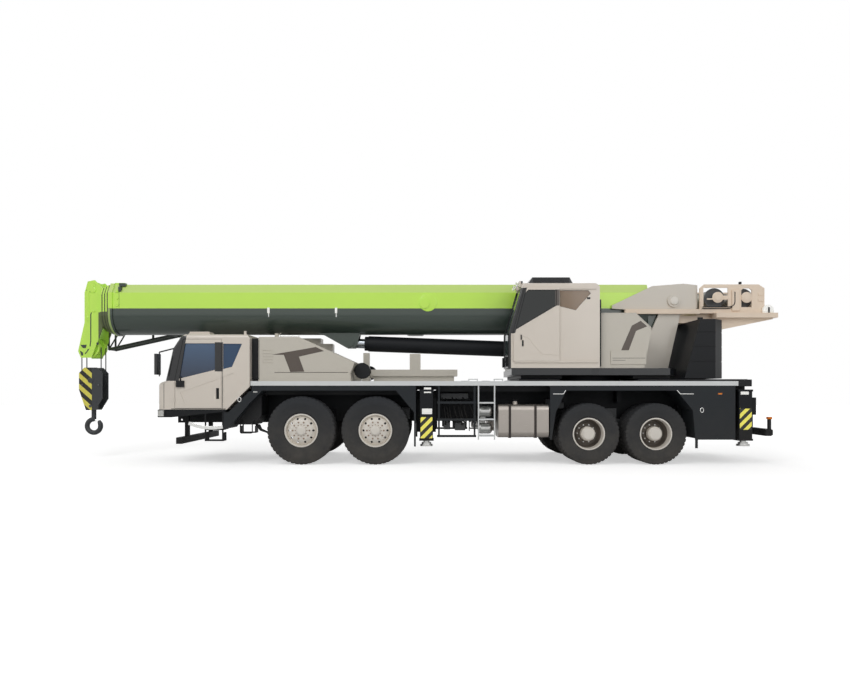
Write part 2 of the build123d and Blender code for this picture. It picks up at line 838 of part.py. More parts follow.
# Driven wheels: twin tyres back to back on deep rims, with a big round hub cap
for name, (x, side) in driven.items():
    z = rear_tyre_radius
    with BuildPart() as tyres:
        bead = rear_rim_radius + seat
        for middle in (outer_wheel_y, outer_wheel_y - twin_spacing):
            ring(tyre_outline(middle, rear_tyre_width, rear_tyre_radius, bead), x, z, side)
    keep(tyres, f"tyres_{name}")
    with BuildPart() as rims:
        half = rear_tyre_width / 2
        disc_y = outer_wheel_y - twin_spacing / 2
        for middle, sign in ((outer_wheel_y, 1), (outer_wheel_y - twin_spacing, -1)):
            ring(
                [
                    (middle + sign * half * 0.84, rear_rim_radius + 16),
                    (middle + sign * half * 0.84, rear_rim_radius - 8),
                    (middle - sign * half * 0.5, rear_rim_radius - 22),
                    (disc_y + sign * 16, rear_rim_radius - 60),
                    (disc_y + sign * 16, 200),
                    (disc_y - sign * 1, 200),
                    (disc_y - sign * 1, rear_rim_radius - 60),
                    (middle - sign * half * 0.84, rear_rim_radius - 2),
                    (middle - sign * half * 0.84, rear_rim_radius + 16),
                    (middle - sign * half * 0.79, rear_rim_radius + 16),
                    (middle - sign * half * 0.79, rear_rim_radius),
                    (middle + sign * half * 0.79, rear_rim_radius),
                    (middle + sign * half * 0.79, rear_rim_radius + 16),
                ],
                x,
                z,
                side,
            )
        ring(
            [
                (disc_y - 1, 60 + seat),
                (disc_y - 1, 205),
                (disc_y + 60, 205),
                (disc_y + 80, 150),
                (disc_y + 250, 140),
                (disc_y + 285, 110),
                (disc_y + 285, 0),
                (1190 + seat, 0),
                (1190 + seat, 60 + seat),
            ],
            x,
            z,
            side,
        )
    keep(rims, f"rims_{name}")

# Outriggers: a beam with its jack column at each corner, and the jack inside it
for end, middle in outrigger_x.items():
    for hand, side in (("left", -1), ("right", 1)):
        beam_x = middle + side * 90
        with BuildPart() as outrigger_beam:
            block(
                (beam_x - beam_width / 2, beam_x + beam_width / 2),
                sorted((side * cap_y, -side * beam_inner_end)),
                (beam_bottom, beam_bottom + beam_height),
            )
            block(
                (beam_x - beam_width / 2 + beam_wall, beam_x + beam_width / 2 - beam_wall),
                sorted((side * (cap_y - 300), -side * (beam_inner_end + 10))),
                (beam_bottom + beam_wall, beam_bottom + beam_height - beam_wall),
                Mode.SUBTRACT,
            )
            block(
                (middle - cap_width / 2, middle + cap_width / 2),
                sorted((side * cap_y, side * (cap_y + 16))),
                (cap_bottom, cap_top),
            )
            block(
                (middle - column_width / 2, middle + column_width / 2),
                sorted((side * (cap_y + 15), side * (cap_y + 15 + column_depth))),
                (column_bottom, column_top),
            )
            # The column's collar, its foot flange and the gussets on the cap
            for z in (column_bottom, column_top - 40):
                block(
                    (middle - column_width / 2 - 14, middle + column_width / 2 + 14),
                    sorted((side * (cap_y + 15), side * (cap_y + 15 + column_depth + 7))),
                    (z, z + 40),
                )
            for x in (middle - column_width / 2 - 24, middle + column_width / 2 + 12):
                with BuildSketch(Plane.YZ.offset(x)) as gusset:
                    with BuildLine():
                        Polyline(
                            (side * (cap_y + 15), cap_bottom + 30),
                            (side * (cap_y + 15), cap_top - 30),
                            (side * (cap_y + 75), cap_top - 90),
                            (side * (cap_y + 75), cap_bottom + 90),
                            close=True,
                        )
                    make_face()
                extrude(to_extrude=gusset.sketch, amount=12)
            bar(
                (middle, side * (cap_y + 15 + column_depth / 2), column_bottom - 10),
                (middle, side * (cap_y + 15 + column_depth / 2), column_top - 40),
                jack_radius + seat,
                Mode.SUBTRACT,
            )
        keep(outrigger_beam, f"outrigger_beam_{end}_{hand}")
        with BuildPart() as outrigger_jack:
            jack_y = side * (cap_y + 15 + column_depth / 2)
            bar((middle, jack_y, foot_bottom + 30), (middle, jack_y, column_top - 60), jack_radius)
            bar((middle, jack_y, foot_bottom), (middle, jack_y, foot_bottom + 35), foot_radius)
            bar((middle, jack_y, foot_bottom + 30), (middle, jack_y, foot_bottom + 75), 95)
        keep(outrigger_jack, f"outrigger_jack_{end}_{hand}")

# Turntable: a base plate on the slewing ring, the cylinder's lugs and the two
# side webs, whose tapered tops hold the boom's pivot
web_outline = [
    (4520, base_top - 1),
    (5230, base_top - 1),
    (5490, 3080),
    (5860, 3230),
    (5860, 3720),
    (5560, 3750),
    (4900, 3700),
    (4050, 3290),
    (4050, 3220),
    (5060, 3150),
]
lug_y = (140, 180)
with BuildPart() as turntable:
    plan_slab(
        [
            (1950, -560),
            (1950, 1250),
            (5000, 1250),
            (5240, 900),
            (5240, -900),
            (5000, -1250),
            (3560, -1250),
            (3400, -1330),
            (1800, -1330),
            (1800, -560),
        ],
        (ring_top + seat, base_top),
    )
    for y in both((web_inner_y, web_inner_y + web_thickness)):
        side_slab(web_outline, y)
    for y in both(lug_y):
        side_slab(
            [
                (2380, base_top - 1),
                (2420, 2400),
                (2520, 2520),
                (2700, 2520),
                (2790, 2400),
                (2860, base_top - 1),
            ],
            y,
        )
    for x in (4650, 5080):
        block((x, x + 60), (-web_inner_y - 1, web_inner_y + 1), (base_top - 1, 2560))
    across(pivot_x, pivot_z, 130, (-web_inner_y - web_thickness - 40, -web_inner_y))
    across(pivot_x, pivot_z, 130, (web_inner_y, web_inner_y + web_thickness + 40))
    across(pivot_x, pivot_z, pivot_radius, (-web_inner_y - 1, web_inner_y + 1))
    across(lift_base_x, lift_base_z, 60, (-lug_y[1] - 30, lug_y[1] + 30))
keep(turntable, "turntable")

# Side covers over the machinery behind the operator's cab and on the right
cover_y = 1230
with BuildPart() as machinery_covers:
    side_slab(
        [
            (3600, base_top + seat),
            (3600, 3050),
            (4330, 3050),
            (4640, 2760),
            (4490, base_top + seat),
        ],
        (-cover_y, -540),
    )
    side_slab(
        [
            (1980, base_top + seat),
            (1980, 2950),
            (2060, 3030),
            (4330, 3030),
            (4640, 2760),
            (4490, base_top + seat),
        ],
        (540, cover_y),
    )
    rims = [edge for edge in side_edges(machinery_covers, cover_y) if edge.center().Z > 2500]
    chamfer(rims, 40)
    # The ledge along the left cover, the doors' seams and the louvres of the right one
    block((3810, 4520), (-cover_y - 22, -cover_y + 1), (2010, 2280))
    for x in (2650, 3380, 4060):
        block((x, x + 8), (cover_y - 6, cover_y + 1), (2000, 2940), Mode.SUBTRACT)
    for x in (2120, 2820, 3520):
        for number in range(8):
            z = 2250 + 70 * number
            block((x, x + 400), (cover_y - 12, cover_y + 1), (z, z + 28), Mode.SUBTRACT)
keep(machinery_covers, "machinery_covers")

# Counterweight behind the webs, cut back at its corners
with BuildPart() as counterweight:
    side_slab([(5290, 1725), (5610, 2920), (6130, 2920), (6130, 1725)], (-1250, 1250))
    for side in (-1, 1):
        corner = [(5900, side * 1260), (6140, side * 1260), (6140, side * 1040)]
        plan_slab(corner, (1700, 3000), Mode.SUBTRACT)
    # The seams between its slabs, and the lugs that it is lifted by
    for z in (2060, 2360, 2650):
        for y in both((1238, 1251)):
            block((5280, 6140), y, (z, z + 14), Mode.SUBTRACT)
        block((6118, 6131), (-1251, 1251), (z, z + 14), Mode.SUBTRACT)
    for y in (-900, 900):
        block((5700, 5800), (y - 15, y + 15), (2919, 2990))
keep(counterweight, "counterweight")

# Operator's cab: a hollow shell, open where the door slides
op_y = (-1350, -560)
op_side = [
    (1730, base_top + seat),
    (1730, 2620),
    (2020, 3630),
    (3480, 3630),
    (3560, 3560),
    (3560, base_top + seat),
]
op_window = [(1880, 2700), (2060, 3400), (2120, 3480), (2690, 3480), (2690, 3180)]
op_quarter = [(2760, 3160), (2760, 3480), (3330, 3480), (3380, 3420), (3180, 3200), (3080, 3080)]
op_inner_window = [(1880, 2500), (2060, 3400), (2120, 3480), (3330, 3480), (3330, 2500)]
with BuildPart() as operator_cab:
    side_slab(op_side, op_y)
    pillars = [
        edge
        for edge in operator_cab.edges()
        if abs(edge.center().Y - (op_y[0] + op_y[1]) / 2) > 300
        and (edge.center().Z > 3600 or edge.center().X < 2000)
        and edge.center().Z > base_top + 20
    ]
    fillet(pillars, radius=40)
    side_slab(
        [
            (1780, base_top + 50),
            (1780, 2612),
            (2058, 3585),
            (3470, 3585),
            (3515, 3540),
            (3515, base_top + 50),
        ],
        (op_y[0] + 45, op_y[1] - 45),
        Mode.SUBTRACT,
    )
    side_slab(
        [(1840, 2080), (1840, 2660), (2060, 3500), (2740, 3500), (2740, 2080)],
        (-1400, -1300),
        Mode.SUBTRACT,
    )
    side_slab(op_quarter, (-1400, -1300), Mode.SUBTRACT)
    side_slab(op_inner_window, (-620, -540), Mode.SUBTRACT)
    side_slab(
        [(1700, 2200), (1700, 2640), (1990, 3560), (2075, 3530), (1800, 2640), (1800, 2200)],
        (op_y[0] + 60, op_y[1] - 60),
        Mode.SUBTRACT,
    )
    # The sill rail that the door runs on and the rail that holds its top
    for x, z in (((1850, 3520), (2038, 2070 - seat)), ((2060, 3480), (3505 + seat, 3535))):
        block(x, (op_y[0] - 30, op_y[0] + 1), z)
    side_slab([(2150, 3629), (2235, 3765), (2990, 3765), (3060, 3629)], (-1200, -700))
    for y in (-1180, -730):
        block((1965, 2035), (y - 70, y + 70), (3560, 3680))
keep(operator_cab, "operator_cab")

with BuildPart() as operator_glass:
    side_slab(
        [(1748, 2210), (1748, 2632), (2016, 3535), (2024, 3533), (1756, 2632), (1756, 2210)],
        (op_y[0] + 60 + seat, op_y[1] - 60 - seat),
    )
    pane(op_quarter, (-1335, -1327))
    pane(op_inner_window, (-590, -582))
keep(operator_glass, "operator_glass")

with BuildPart() as operator_interior:
    block((1900, 3400), (-1250, -660), (base_top + 50 + seat, base_top + 70))
    block((2560, 3060), (-1200, -720), (base_top + 69, 2500))
    side_slab([(2960, 2490), (3120, 3180), (3220, 3180), (3070, 2490)], (-1190, -730))
    for y in (-1240, -690):
        block((2450, 2960), (y - 40, y + 40), (base_top + 69, 2680))
    block((1900, 2050), (-1200, -720), (base_top + 69, 2450))
keep(operator_interior, "operator_interior")

# The operator's door slides back along the cab's outer side
with BuildPart() as operator_door:
    leaf = [(1834, 2070), (1834, 2664), (2054, 3505), (2746, 3505), (2746, 2070)]
    side_slab(leaf, (op_y[0] - 40, op_y[0] - 6))
    side_slab(op_window, (op_y[0] - 50, op_y[0]), Mode.SUBTRACT)
    block((1960, 2010), (op_y[0] - 50, op_y[0] - 30), (2480, 2600), Mode.SUBTRACT)
    pane(op_window, (op_y[0] - 28, op_y[0] - 20))
keep(operator_door, "operator_door")

# Winch frame: side plates with their openings, on a platform behind the webs
frame_y = (560, 590)
hub_end_y = 438
with BuildPart() as winch_frame:
    block((5870, 7200), (-frame_y[1], frame_y[1]), (3110, 3160))
    for y in both(frame_y):
        side_slab([(5870, 3150), (5870, 3640), (5960, 3720), (7120, 3720), (7240, 3640), (7240, 3150)], y)
        side_slab([(5950, 3240), (5950, 3650), (6470, 3650), (6470, 3240)], y, Mode.SUBTRACT)
        side_slab(
            [(6750, 3240), (6750, 3600), (6800, 3640), (6920, 3640), (6970, 3600), (6970, 3240)],
            y,
            Mode.SUBTRACT,
        )
        block((6170, 6500), y, (3405, 3485))
        block((6700, 6930), y, (3405, 3485))
    block((6180, 7470), (-700, 700), (3010, 3111))
    for y in both((520, 560)):
        side_slab([(6190, 2740), (6190, 3011), (7430, 3011), (7430, 2990)], y)
    block((5400, 6180), (-420, 420), (2920 + seat, 3080))
    block((5860 + seat, 6181), (-420, 420), (2990, 3111))
    for y in both((web_inner_y + web_thickness + seat, frame_y[1])):
        block((4300, 5880), y, (3100, 3200))
    block((7180, 7240), (-frame_y[1], frame_y[1]), (3300, 3360))
    for x in (6250, 6860):
        for y in both((hub_end_y + seat, 561)):
            across(x, 3445, 30, y)
keep(winch_frame, "winch_frame")

# The two hoist drums, wound with rope, with their flanges
for name, x, radius in (("main", 6250, 175), ("auxiliary", 6860, 165)):
    with BuildPart() as drum:
        across(x, 3445, radius, (-400, 400))
        for y in (-425, 400):
            across(x, 3445, radius + 45, (y, y + 25))
        for y in both((424, hub_end_y)):
            across(x, 3445, 60, y)
    keep(drum, f"winch_drum_{name}")


def boom_face(inset, plane):
    """The boom's section: flat top, bevelled shoulders and a round bottom."""
    half = boom_half_width - inset
    top = boom_top - inset
    bottom = boom_bottom + inset
    shoulder = boom_top_half - inset * 0.5
    with BuildSketch(plane) as face:
        with BuildLine():
            Polyline(
                (-half, bottom + half),
                (-half, boom_shoulder_z - inset * 0.5),
                (-shoulder, top),
                (shoulder, top),
                (half, boom_shoulder_z - inset * 0.5),
                (half, bottom + half),
            )
            ThreePointArc((half, bottom + half), (0, bottom), (-half, bottom + half))
        make_face()
    return face.sketch


def boom_tube(inset, x, wall=boom_wall):
    """A length of hollow boom section between two stations."""
    extrude(to_extrude=boom_face(inset, Plane.YZ.offset(x[0])), amount=x[1] - x[0])
    if wall:
        extrude(
            to_extrude=boom_face(inset + wall, Plane.YZ.offset(x[0])),
            amount=x[1] - x[0],
            mode=Mode.SUBTRACT,
        )


def guide_pads(number, front):
    """Pads inside a section's mouth that carry and guide the next one."""
    inset = number * boom_step
    inner_half = boom_half_width - inset - boom_wall
    next_half = boom_half_width - inset - boom_step
    x = (front + 10, front + 180)
    for y in both((next_half + pad_gap, inner_half + 1)):
        block(x, y, (boom_shoulder_z - 370, boom_shoulder_z - 120))
    block(x, (-220, 220), (boom_top - inset - boom_step + pad_gap, boom_top - inset - boom_wall + 1))
    block(x, (-50, 50), (boom_bottom + inset + boom_wall - 1, boom_bottom + inset + boom_step - pad_gap))


# Boom: the outer section with its foot, the brackets of the lift cylinder, the
# rest pad, the front collar and the pads that guide the next section
section_rear_x = 4250
eye_gap = 130
jib_y = (540, 860)
chord = 32
jib_inner_y = jib_y[0] - chord
with BuildPart() as boom_base:
    boom_tube(0, (boom_front_x, boom_foot_x), 0)
    with BuildSketch(Plane.XZ.offset(-boom_half_width)) as foot:
        with BuildLine():
            Polyline(
                (boom_foot_x - 10, boom_bottom + 90),
                (boom_foot_x - 10, boom_shoulder_z),
                (pivot_x - 250, boom_shoulder_z),
                (pivot_x + 60, pivot_z + 220),
                (pivot_x + 250, pivot_z + 120),
                (pivot_x + 250, pivot_z - 120),
                (pivot_x, pivot_z - 250),
                (pivot_x - 300, boom_bottom + 190),
                close=True,
            )
        make_face()
    extrude(to_extrude=foot.sketch, amount=2 * boom_half_width)
    across(pivot_x, pivot_z, pivot_radius + seat, (-500, 500), Mode.SUBTRACT)
    for y in both((eye_gap, eye_gap + 30)):
        side_slab(
            [
                (-2700, 2830),
                (-2155, 2700),
                (-1640, 2410),
                (-1460, 2410),
                (-1400, 2500),
                (-1330, 2830),
            ],
            y,
        )
    for y in both((eye_gap, eye_gap + 55)):
        across(lift_eye_x, lift_eye_z, 75, y)
    extrude(to_extrude=boom_face(-26, Plane.YZ.offset(boom_front_x)), amount=90)
    side_slab([(-330, 2702), (-290, 2685), (10, 2685), (50, 2702)], (-120, 120))
    across(60, 3330, 95, (-boom_half_width - 40, -boom_half_width))
    across(60, 3330, 95, (boom_half_width, boom_half_width + 40))
    for x in (-6200, -400):
        block((x, x + 120), (boom_half_width - 5, jib_inner_y), (3250, 3420))
    extrude(
        to_extrude=boom_face(boom_wall, Plane.YZ.offset(boom_front_x - 1)),
        amount=boom_foot_x - boom_front_x - 20,
        mode=Mode.SUBTRACT,
    )
    guide_pads(0, boom_front_x)
keep(boom_base, "boom_base")

# The nested sections: each shows only its thin collar while the boom is in
sections = (("second", 1), ("third", 2))
for name, number in sections:
    front = boom_front_x - number * (collar_length + collar_gap)
    with BuildPart() as boom_section:
        boom_tube(number * boom_step, (front, section_rear_x - number * 60))
        collar = boom_face(number * boom_step - 22, Plane.YZ.offset(front))
        extrude(to_extrude=collar, amount=collar_length)
        extrude(
            to_extrude=boom_face(number * boom_step + boom_wall, Plane.YZ.offset(front - 1)),
            amount=collar_length + 2,
            mode=Mode.SUBTRACT,
        )
        guide_pads(number, front)
    keep(boom_section, f"boom_section_{name}")

# Head section: its tube, the side plates of the head and the sheaves
head_front = boom_front_x - 3 * (collar_length + collar_gap)
with BuildPart() as boom_head:
    boom_tube(3 * boom_step, (head_front, section_rear_x - 180))
    extrude(to_extrude=boom_face(3 * boom_step - 22, Plane.YZ.offset(head_front)), amount=collar_length)
    for y in both((215, 245)):
        side_slab(
            [
                (head_front + 1, 3700),
                (-7080, 3870),
                (-7230, 3840),
                (-7300, 3600),
                (-7300, 2950),
                (-7440, 2330),
                (-7380, 2190),
                (-7150, 2190),
                (head_front + 1, 2830),
            ],
            y,
        )
    for y in (-165, *fall_y, 165):
        sheave(sheave_x, sheave_z, head_sheave_radius, (y - sheave_half, y + sheave_half))
        sheave(-7120, 3660, 180, (y - sheave_half, y + sheave_half))
    across(sheave_x, sheave_z, 40, (-250, 250))
    across(-7120, 3660, 40, (-250, 250))
    block((-7290, -7200), (-216, 216), (3000, 3300))
keep(boom_head, "boom_head")

# Lattice jib, stowed along the right side of the boom. Each station is its x and
# the heights of the lower and the upper chord.
jib_stations = [
    (-7150, 2420, 3640),
    (-5700, 2740, 3600),
    (-4500, 3050, 3560),
    (-3000, 3050, 3560),
    (-1500, 3050, 3560),
    (0, 3050, 3560),
    (1500, 3050, 3560),
]
jib_posts = [(-6200, 2643, 3610), (-400, 3050, 3560)]
lacing = 16
with BuildPart() as jib:
    for y in jib_y:
        for start, end in zip(jib_stations, jib_stations[1:]):
            for level in (1, 2):
                bar((start[0], y, start[level]), (end[0], y, end[level]), chord)
            # Lacing of each bay: two diagonals that meet at the middle of the upper chord
            crown = ((start[0] + end[0]) / 2, y, (start[2] + end[2]) / 2)
            bar((start[0], y, start[1]), crown, lacing)
            bar(crown, (end[0], y, end[1]), lacing)
    for x, low, high in jib_stations:
        for y in jib_y:
            bar((x, y, low), (x, y, high), 22)
        for z in (low, high):
            bar((x, jib_y[0], z), (x, jib_y[1], z), 22)
    for start, end in zip(jib_stations, jib_stations[1:]):
        for level in (1, 2):
            bar((start[0], jib_y[0], start[level]), (end[0], jib_y[1], end[level]), lacing)
    for x, low, high in jib_posts:
        block((x, x + 120), (jib_inner_y + seat, jib_y[0] + 10), (3250, 3420))
        bar((x + 60, jib_y[0], low), (x + 60, jib_y[0], high), 26)
keep(jib, "jib")

# Lift cylinder: barrel on the turntable's pin, rod reaching to the boom's bracket
base_pin = Vector(lift_base_x, 0, lift_base_z)
eye_pin = Vector(lift_eye_x, 0, lift_eye_z)
lift_axis = (eye_pin - base_pin).normalized()
closed_length = (eye_pin - base_pin).length


def along(distance):
    """The point of the lift cylinder's axis that far from the base pin."""
    return tuple(base_pin + lift_axis * distance)


with BuildPart() as lift_barrel:
    bar(along(280), along(closed_length - 380), barrel_radius)
    bar(along(closed_length - 380), along(closed_length - 300), barrel_radius - 15)
    bar(along(130), along(281), 120)
    across(lift_base_x, lift_base_z, 150, (-130, 130))
    across(lift_base_x, lift_base_z, 60 + seat, (-200, 200), Mode.SUBTRACT)
    bar(along(290), along(closed_length - 299), rod_radius + 1, Mode.SUBTRACT)
keep(lift_barrel, "lift_barrel")
with BuildPart() as lift_rod:
    bar(along(300), along(closed_length - 60), rod_radius)
    across(lift_eye_x, lift_eye_z, 105, (-eye_gap + 8, eye_gap - 8))
keep(lift_rod, "lift_rod")

# Hook block: cheeks about its sheaves, the forged hook below, the rope falls above
block_z = 1700
cheek_y = (128, 152)
cheek = [
    (-7470, 1500),
    (-7470, 1860),
    (-7350, 1980),
    (-7080, 1980),
    (-6970, 1860),
    (-6970, 1300),
    (-7120, 1050),
    (-7320, 1050),
]
bowl_z = 700
bowl_radius = 147
forging_radius = 52
bowl_sweep = 290
with BuildPart() as hook_block:
    for y in both(cheek_y):
        side_slab(cheek, y)
    for y in fall_y:
        sheave(sheave_x, block_z, sheave_radius + rope_radius, (y - sheave_half, y + sheave_half))
    across(sheave_x, block_z, 45, (-170, 170))
    block((sheave_x - 80, sheave_x + 80), (-cheek_y[0] - 1, cheek_y[0] + 1), (1060, 1300))
    for x in (sheave_x - sheave_radius, sheave_x + sheave_radius):
        for y in fall_y:
            bar((x, y, block_z), (x, y, sheave_z), rope_radius)
    bar((sheave_x, 0, 1070), (sheave_x, 0, bowl_z + bowl_radius), 50)
    with BuildSketch(Plane.YZ.offset(sheave_x)) as forging:
        with Locations((0, bowl_z + bowl_radius)):
            Circle(forging_radius)
    revolve(
        profiles=forging.sketch,
        axis=Axis((sheave_x, 0, bowl_z), (0, -1, 0)),
        revolution_arc=bowl_sweep,
    )
    nose_at = Vector(sheave_x, 0, bowl_z) + Vector(0, 0, bowl_radius).rotate(Axis.Y, -bowl_sweep)
    nose_to = Vector(-1, 0, 0).rotate(Axis.Y, -bowl_sweep)
    with BuildSketch(Plane(origin=nose_at, z_dir=nose_to)) as nose:
        Circle(forging_radius)
    extrude(to_extrude=nose.sketch, amount=75, taper=16)
keep(hook_block, "hook_block")
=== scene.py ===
# %% [markdown]
# # A truck crane, dressed in Blender
# The crane comes in as a fixed frame of solid pieces: carrier, cabs, wheels,
# outriggers, boom and winches. Here they get their finishes and the small things
# that make them look right from a step away. The frame's pieces are never moved,
# so everything made here is placed by the same measures, in metres: x runs
# rearward, y to the crane's right, z up, and the ground is z = 0.

import math

import bmesh
import bpy
import numpy as np
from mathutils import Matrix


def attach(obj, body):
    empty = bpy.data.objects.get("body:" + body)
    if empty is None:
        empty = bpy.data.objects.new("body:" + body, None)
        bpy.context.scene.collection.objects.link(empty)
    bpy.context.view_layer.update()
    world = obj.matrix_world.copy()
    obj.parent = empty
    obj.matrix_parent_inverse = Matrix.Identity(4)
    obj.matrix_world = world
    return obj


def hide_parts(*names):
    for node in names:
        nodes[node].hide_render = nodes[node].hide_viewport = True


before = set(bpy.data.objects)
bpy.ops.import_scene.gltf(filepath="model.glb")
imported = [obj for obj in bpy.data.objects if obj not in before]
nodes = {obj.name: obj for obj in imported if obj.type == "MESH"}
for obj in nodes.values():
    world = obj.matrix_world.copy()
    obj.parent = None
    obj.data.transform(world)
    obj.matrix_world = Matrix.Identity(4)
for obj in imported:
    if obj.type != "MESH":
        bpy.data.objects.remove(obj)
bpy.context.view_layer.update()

# %% [markdown]
# ## The camera
# The crane is seen square from its left side, from about thirteen metres and at
# eye height. The lens is chosen so that the whole length fits the frame. The
# photograph this follows is squeezed sideways, which a lens can't do, so the
# crane keeps its true proportions here. A small shift keeps the camera level.

# %% Camera
image_width = 850
pixels_per_metre = 50.3
near_side_y = -1.4
distance = 13.0
middle_x = 0.07
eye_height = 1.49
horizon_shift = 40
sensor = 36.0


def make_camera():
    """Place a level camera: lens = focal length in pixels times sensor over image width."""
    data = bpy.data.cameras.new("side_camera")
    camera = bpy.data.objects.new("side_camera", data)
    bpy.context.scene.collection.objects.link(camera)
    camera.location = (middle_x, near_side_y - distance, eye_height)
    camera.rotation_euler = (math.radians(90), 0, 0)
    data.sensor_width = sensor
    data.lens = pixels_per_metre * distance * sensor / image_width
    data.shift_y = horizon_shift / image_width
    data.clip_end = 200
    bpy.context.scene.camera = camera
    print("lens", round(data.lens, 2), "mm, shift", round(data.shift_y, 4))


make_camera()

# %% [markdown]
# ## Colours
# Colours are picked on a screen, where their steps are even to the eye,
# but a shader wants amounts of light. One helper turns the first into the second.

# %% Colour helper
bpy.context.scene.view_settings.view_transform = "Standard"


def tone(red, green, blue):
    """Light amounts for screen values of 0 to 255: ((v + 0.055) / 1.055) to the power 2.4."""
    values = np.array([red, green, blue]) / 255.0
    light = np.where(values <= 0.04045, values / 12.92, ((values + 0.055) / 1.055) ** 2.4)
    return (*[float(v) for v in light], 1.0)


lime = tone(172, 210, 78)
# A paler lime, for the painted highlight on the boom's upward faces.
highlight_lime = tone(208, 238, 128)
boom_green = tone(48, 58, 52)
beige = tone(186, 178, 168)
turntable_grey = tone(176, 170, 160)
frame_black = tone(15, 17, 20)
rubber_black = tone(24, 25, 27)
print("lime as light", [round(v, 3) for v in lime[:3]])

# %% [markdown]
# ## Building with nodes
# A finish is a small network of nodes. Written out link by link it's long and hard to
# read, so a few helpers let a network read like a sum: each gives its output socket,
# and the next one takes it where it would take a number.

# %% Sockets and nodes
def feed(tree, socket, value):
    """Link another node's output to the socket, or set the socket to a plain value."""
    if isinstance(value, bpy.types.NodeSocket):
        tree.links.new(value, socket)
    else:
        socket.default_value = value


def connect(tree, sockets, **values):
    """Feed sockets by name, with _ written for a space."""
    for key, value in values.items():
        feed(tree, sockets[key.replace("_", " ")], value)


def add_node(tree, kind, **values):
    """Make a node; a value whose key names an input is fed to it, the others set a property."""
    node = tree.nodes.new(f"ShaderNode{kind}")
    for key, value in values.items():
        if key.replace("_", " ") in node.inputs:
            connect(tree, node.inputs, **{key: value})
        else:
            setattr(node, key, value)
    return node


print("node helpers ready")


# %% Sums, places and mixes
def calc(tree, operation, *terms, kind="Math", **options):
    """The result of one operation on sockets and numbers."""
    node = add_node(tree, kind, operation=operation, **options)
    for socket, term in zip(node.inputs, terms):
        feed(tree, socket, term)
    return node.outputs[0]


def own_place(tree):
    """A point's place on its piece, which stays with the piece when it moves."""
    return add_node(tree, "TexCoord").outputs["Object"]


def own_xyz(tree):
    """The three parts X, Y and Z of a point's place."""
    return add_node(tree, "SeparateXYZ", Vector=own_place(tree)).outputs


def noise(tree, place, scale, detail, roughness=0.5):
    """Smooth noise around 0.5."""
    node = add_node(tree, "TexNoise", Vector=place, Scale=scale, Detail=detail, Roughness=roughness)
    return node.outputs["Fac"]


def between(tree, value, low, high, start=0.0, end=1.0):
    """low where the value is at its start, high at its end, and clamped beyond."""
    spread = add_node(tree, "MapRange", clamp=True, Value=value, To_Min=low, To_Max=high)
    connect(tree, spread.inputs, From_Min=start, From_Max=end)
    return spread.outputs["Result"]


def mixed(tree, share, first, second, data_type="RGBA"):
    """first * (1 - share) + second * share, of colours or of numbers."""
    return add_node(tree, "Mix", data_type=data_type, Factor=share, A=first, B=second).outputs["Result"]


print("sum helpers ready")

# %% [markdown]
# ## Shared effects
# Some effects return in almost every finish, so each is a node group with named
# sockets: a slow drift of the colour, as on any large painted sheet; road dust that
# thins out with height; and a fine orange peel in the paint for the bump. The other
# groups are masks: a level, slanted stripes, a box, and the part in front of a line.

# %% Groups and colour drift
FLOAT = "NodeSocketFloat"
COLOUR = "NodeSocketColor"
VECTOR = "NodeSocketVector"


def new_group(name, inputs, outputs):
    """Start a shader group; a row for a socket is its name, its type and, if set, its default."""
    group = bpy.data.node_groups.new(name, "ShaderNodeTree")
    for side, rows in (("INPUT", inputs), ("OUTPUT", outputs)):
        for title, kind, *default in rows:
            socket = group.interface.new_socket(title, in_out=side, socket_type=kind)
            if default:
                socket.default_value = default[0]
    print("effect", name, [row[0] for row in inputs])
    return group, group.nodes.new("NodeGroupInput").outputs, group.nodes.new("NodeGroupOutput").inputs


def use_group(tree, group, **values):
    """Place a group in a material with its own values."""
    return add_node(tree, "Group", node_tree=group, **values)


def colour_drift():
    """Colour * (lift + amount * (noise - middle)), the noise a wide one plus 0.3 of a fine one.

    The lift makes up for the soft light, under which paint looks darker than its tone.
    """
    lift = 1.5
    middle = 0.65
    group, given, result = new_group(
        "colour_drift",
        [("Colour", COLOUR), ("Amount", FLOAT, 0.12), ("Scale", FLOAT, 1.5)],
        [("Colour", COLOUR), ("Mask", FLOAT)],
    )
    place = own_place(group)
    wide = noise(group, place, given["Scale"], 3.0, 0.6)
    fine = noise(group, place, 35.0, 2.0)
    both = calc(group, "MULTIPLY_ADD", fine, 0.3, wide)
    swing = calc(group, "SUBTRACT", both, middle)
    factor = calc(group, "MULTIPLY_ADD", swing, given["Amount"], lift)
    tint = add_node(group, "VectorMath", operation="SCALE", Vector=given["Colour"], Scale=factor)
    connect(group, result, Colour=tint.outputs[0], Mask=both)
    return group


drift_group = colour_drift()


# %% Road dust
def road_dust():
    """Mix towards dust by amount * noise * (1 - (z - low) / (high - low)), clamped."""
    group, given, result = new_group(
        "road_dust",
        [
            ("Colour", COLOUR), ("Dust", COLOUR, tone(150, 140, 125)), ("Amount", FLOAT, 0.35),
            ("Low", FLOAT, 0.0), ("High", FLOAT, 1.6),
        ],
        [("Colour", COLOUR), ("Mask", FLOAT)],
    )
    fall = between(group, own_xyz(group)["Z"], 1.0, 0.0, given["Low"], given["High"])
    cloud = noise(group, own_place(group), 4.0, 5.0, 0.65)
    share = calc(group, "MULTIPLY", fall, cloud)
    share = calc(group, "MULTIPLY", share, given["Amount"], use_clamp=True)
    connect(group, result, Colour=mixed(group, share, given["Colour"], given["Dust"]), Mask=share)
    return group


dust_group = road_dust()


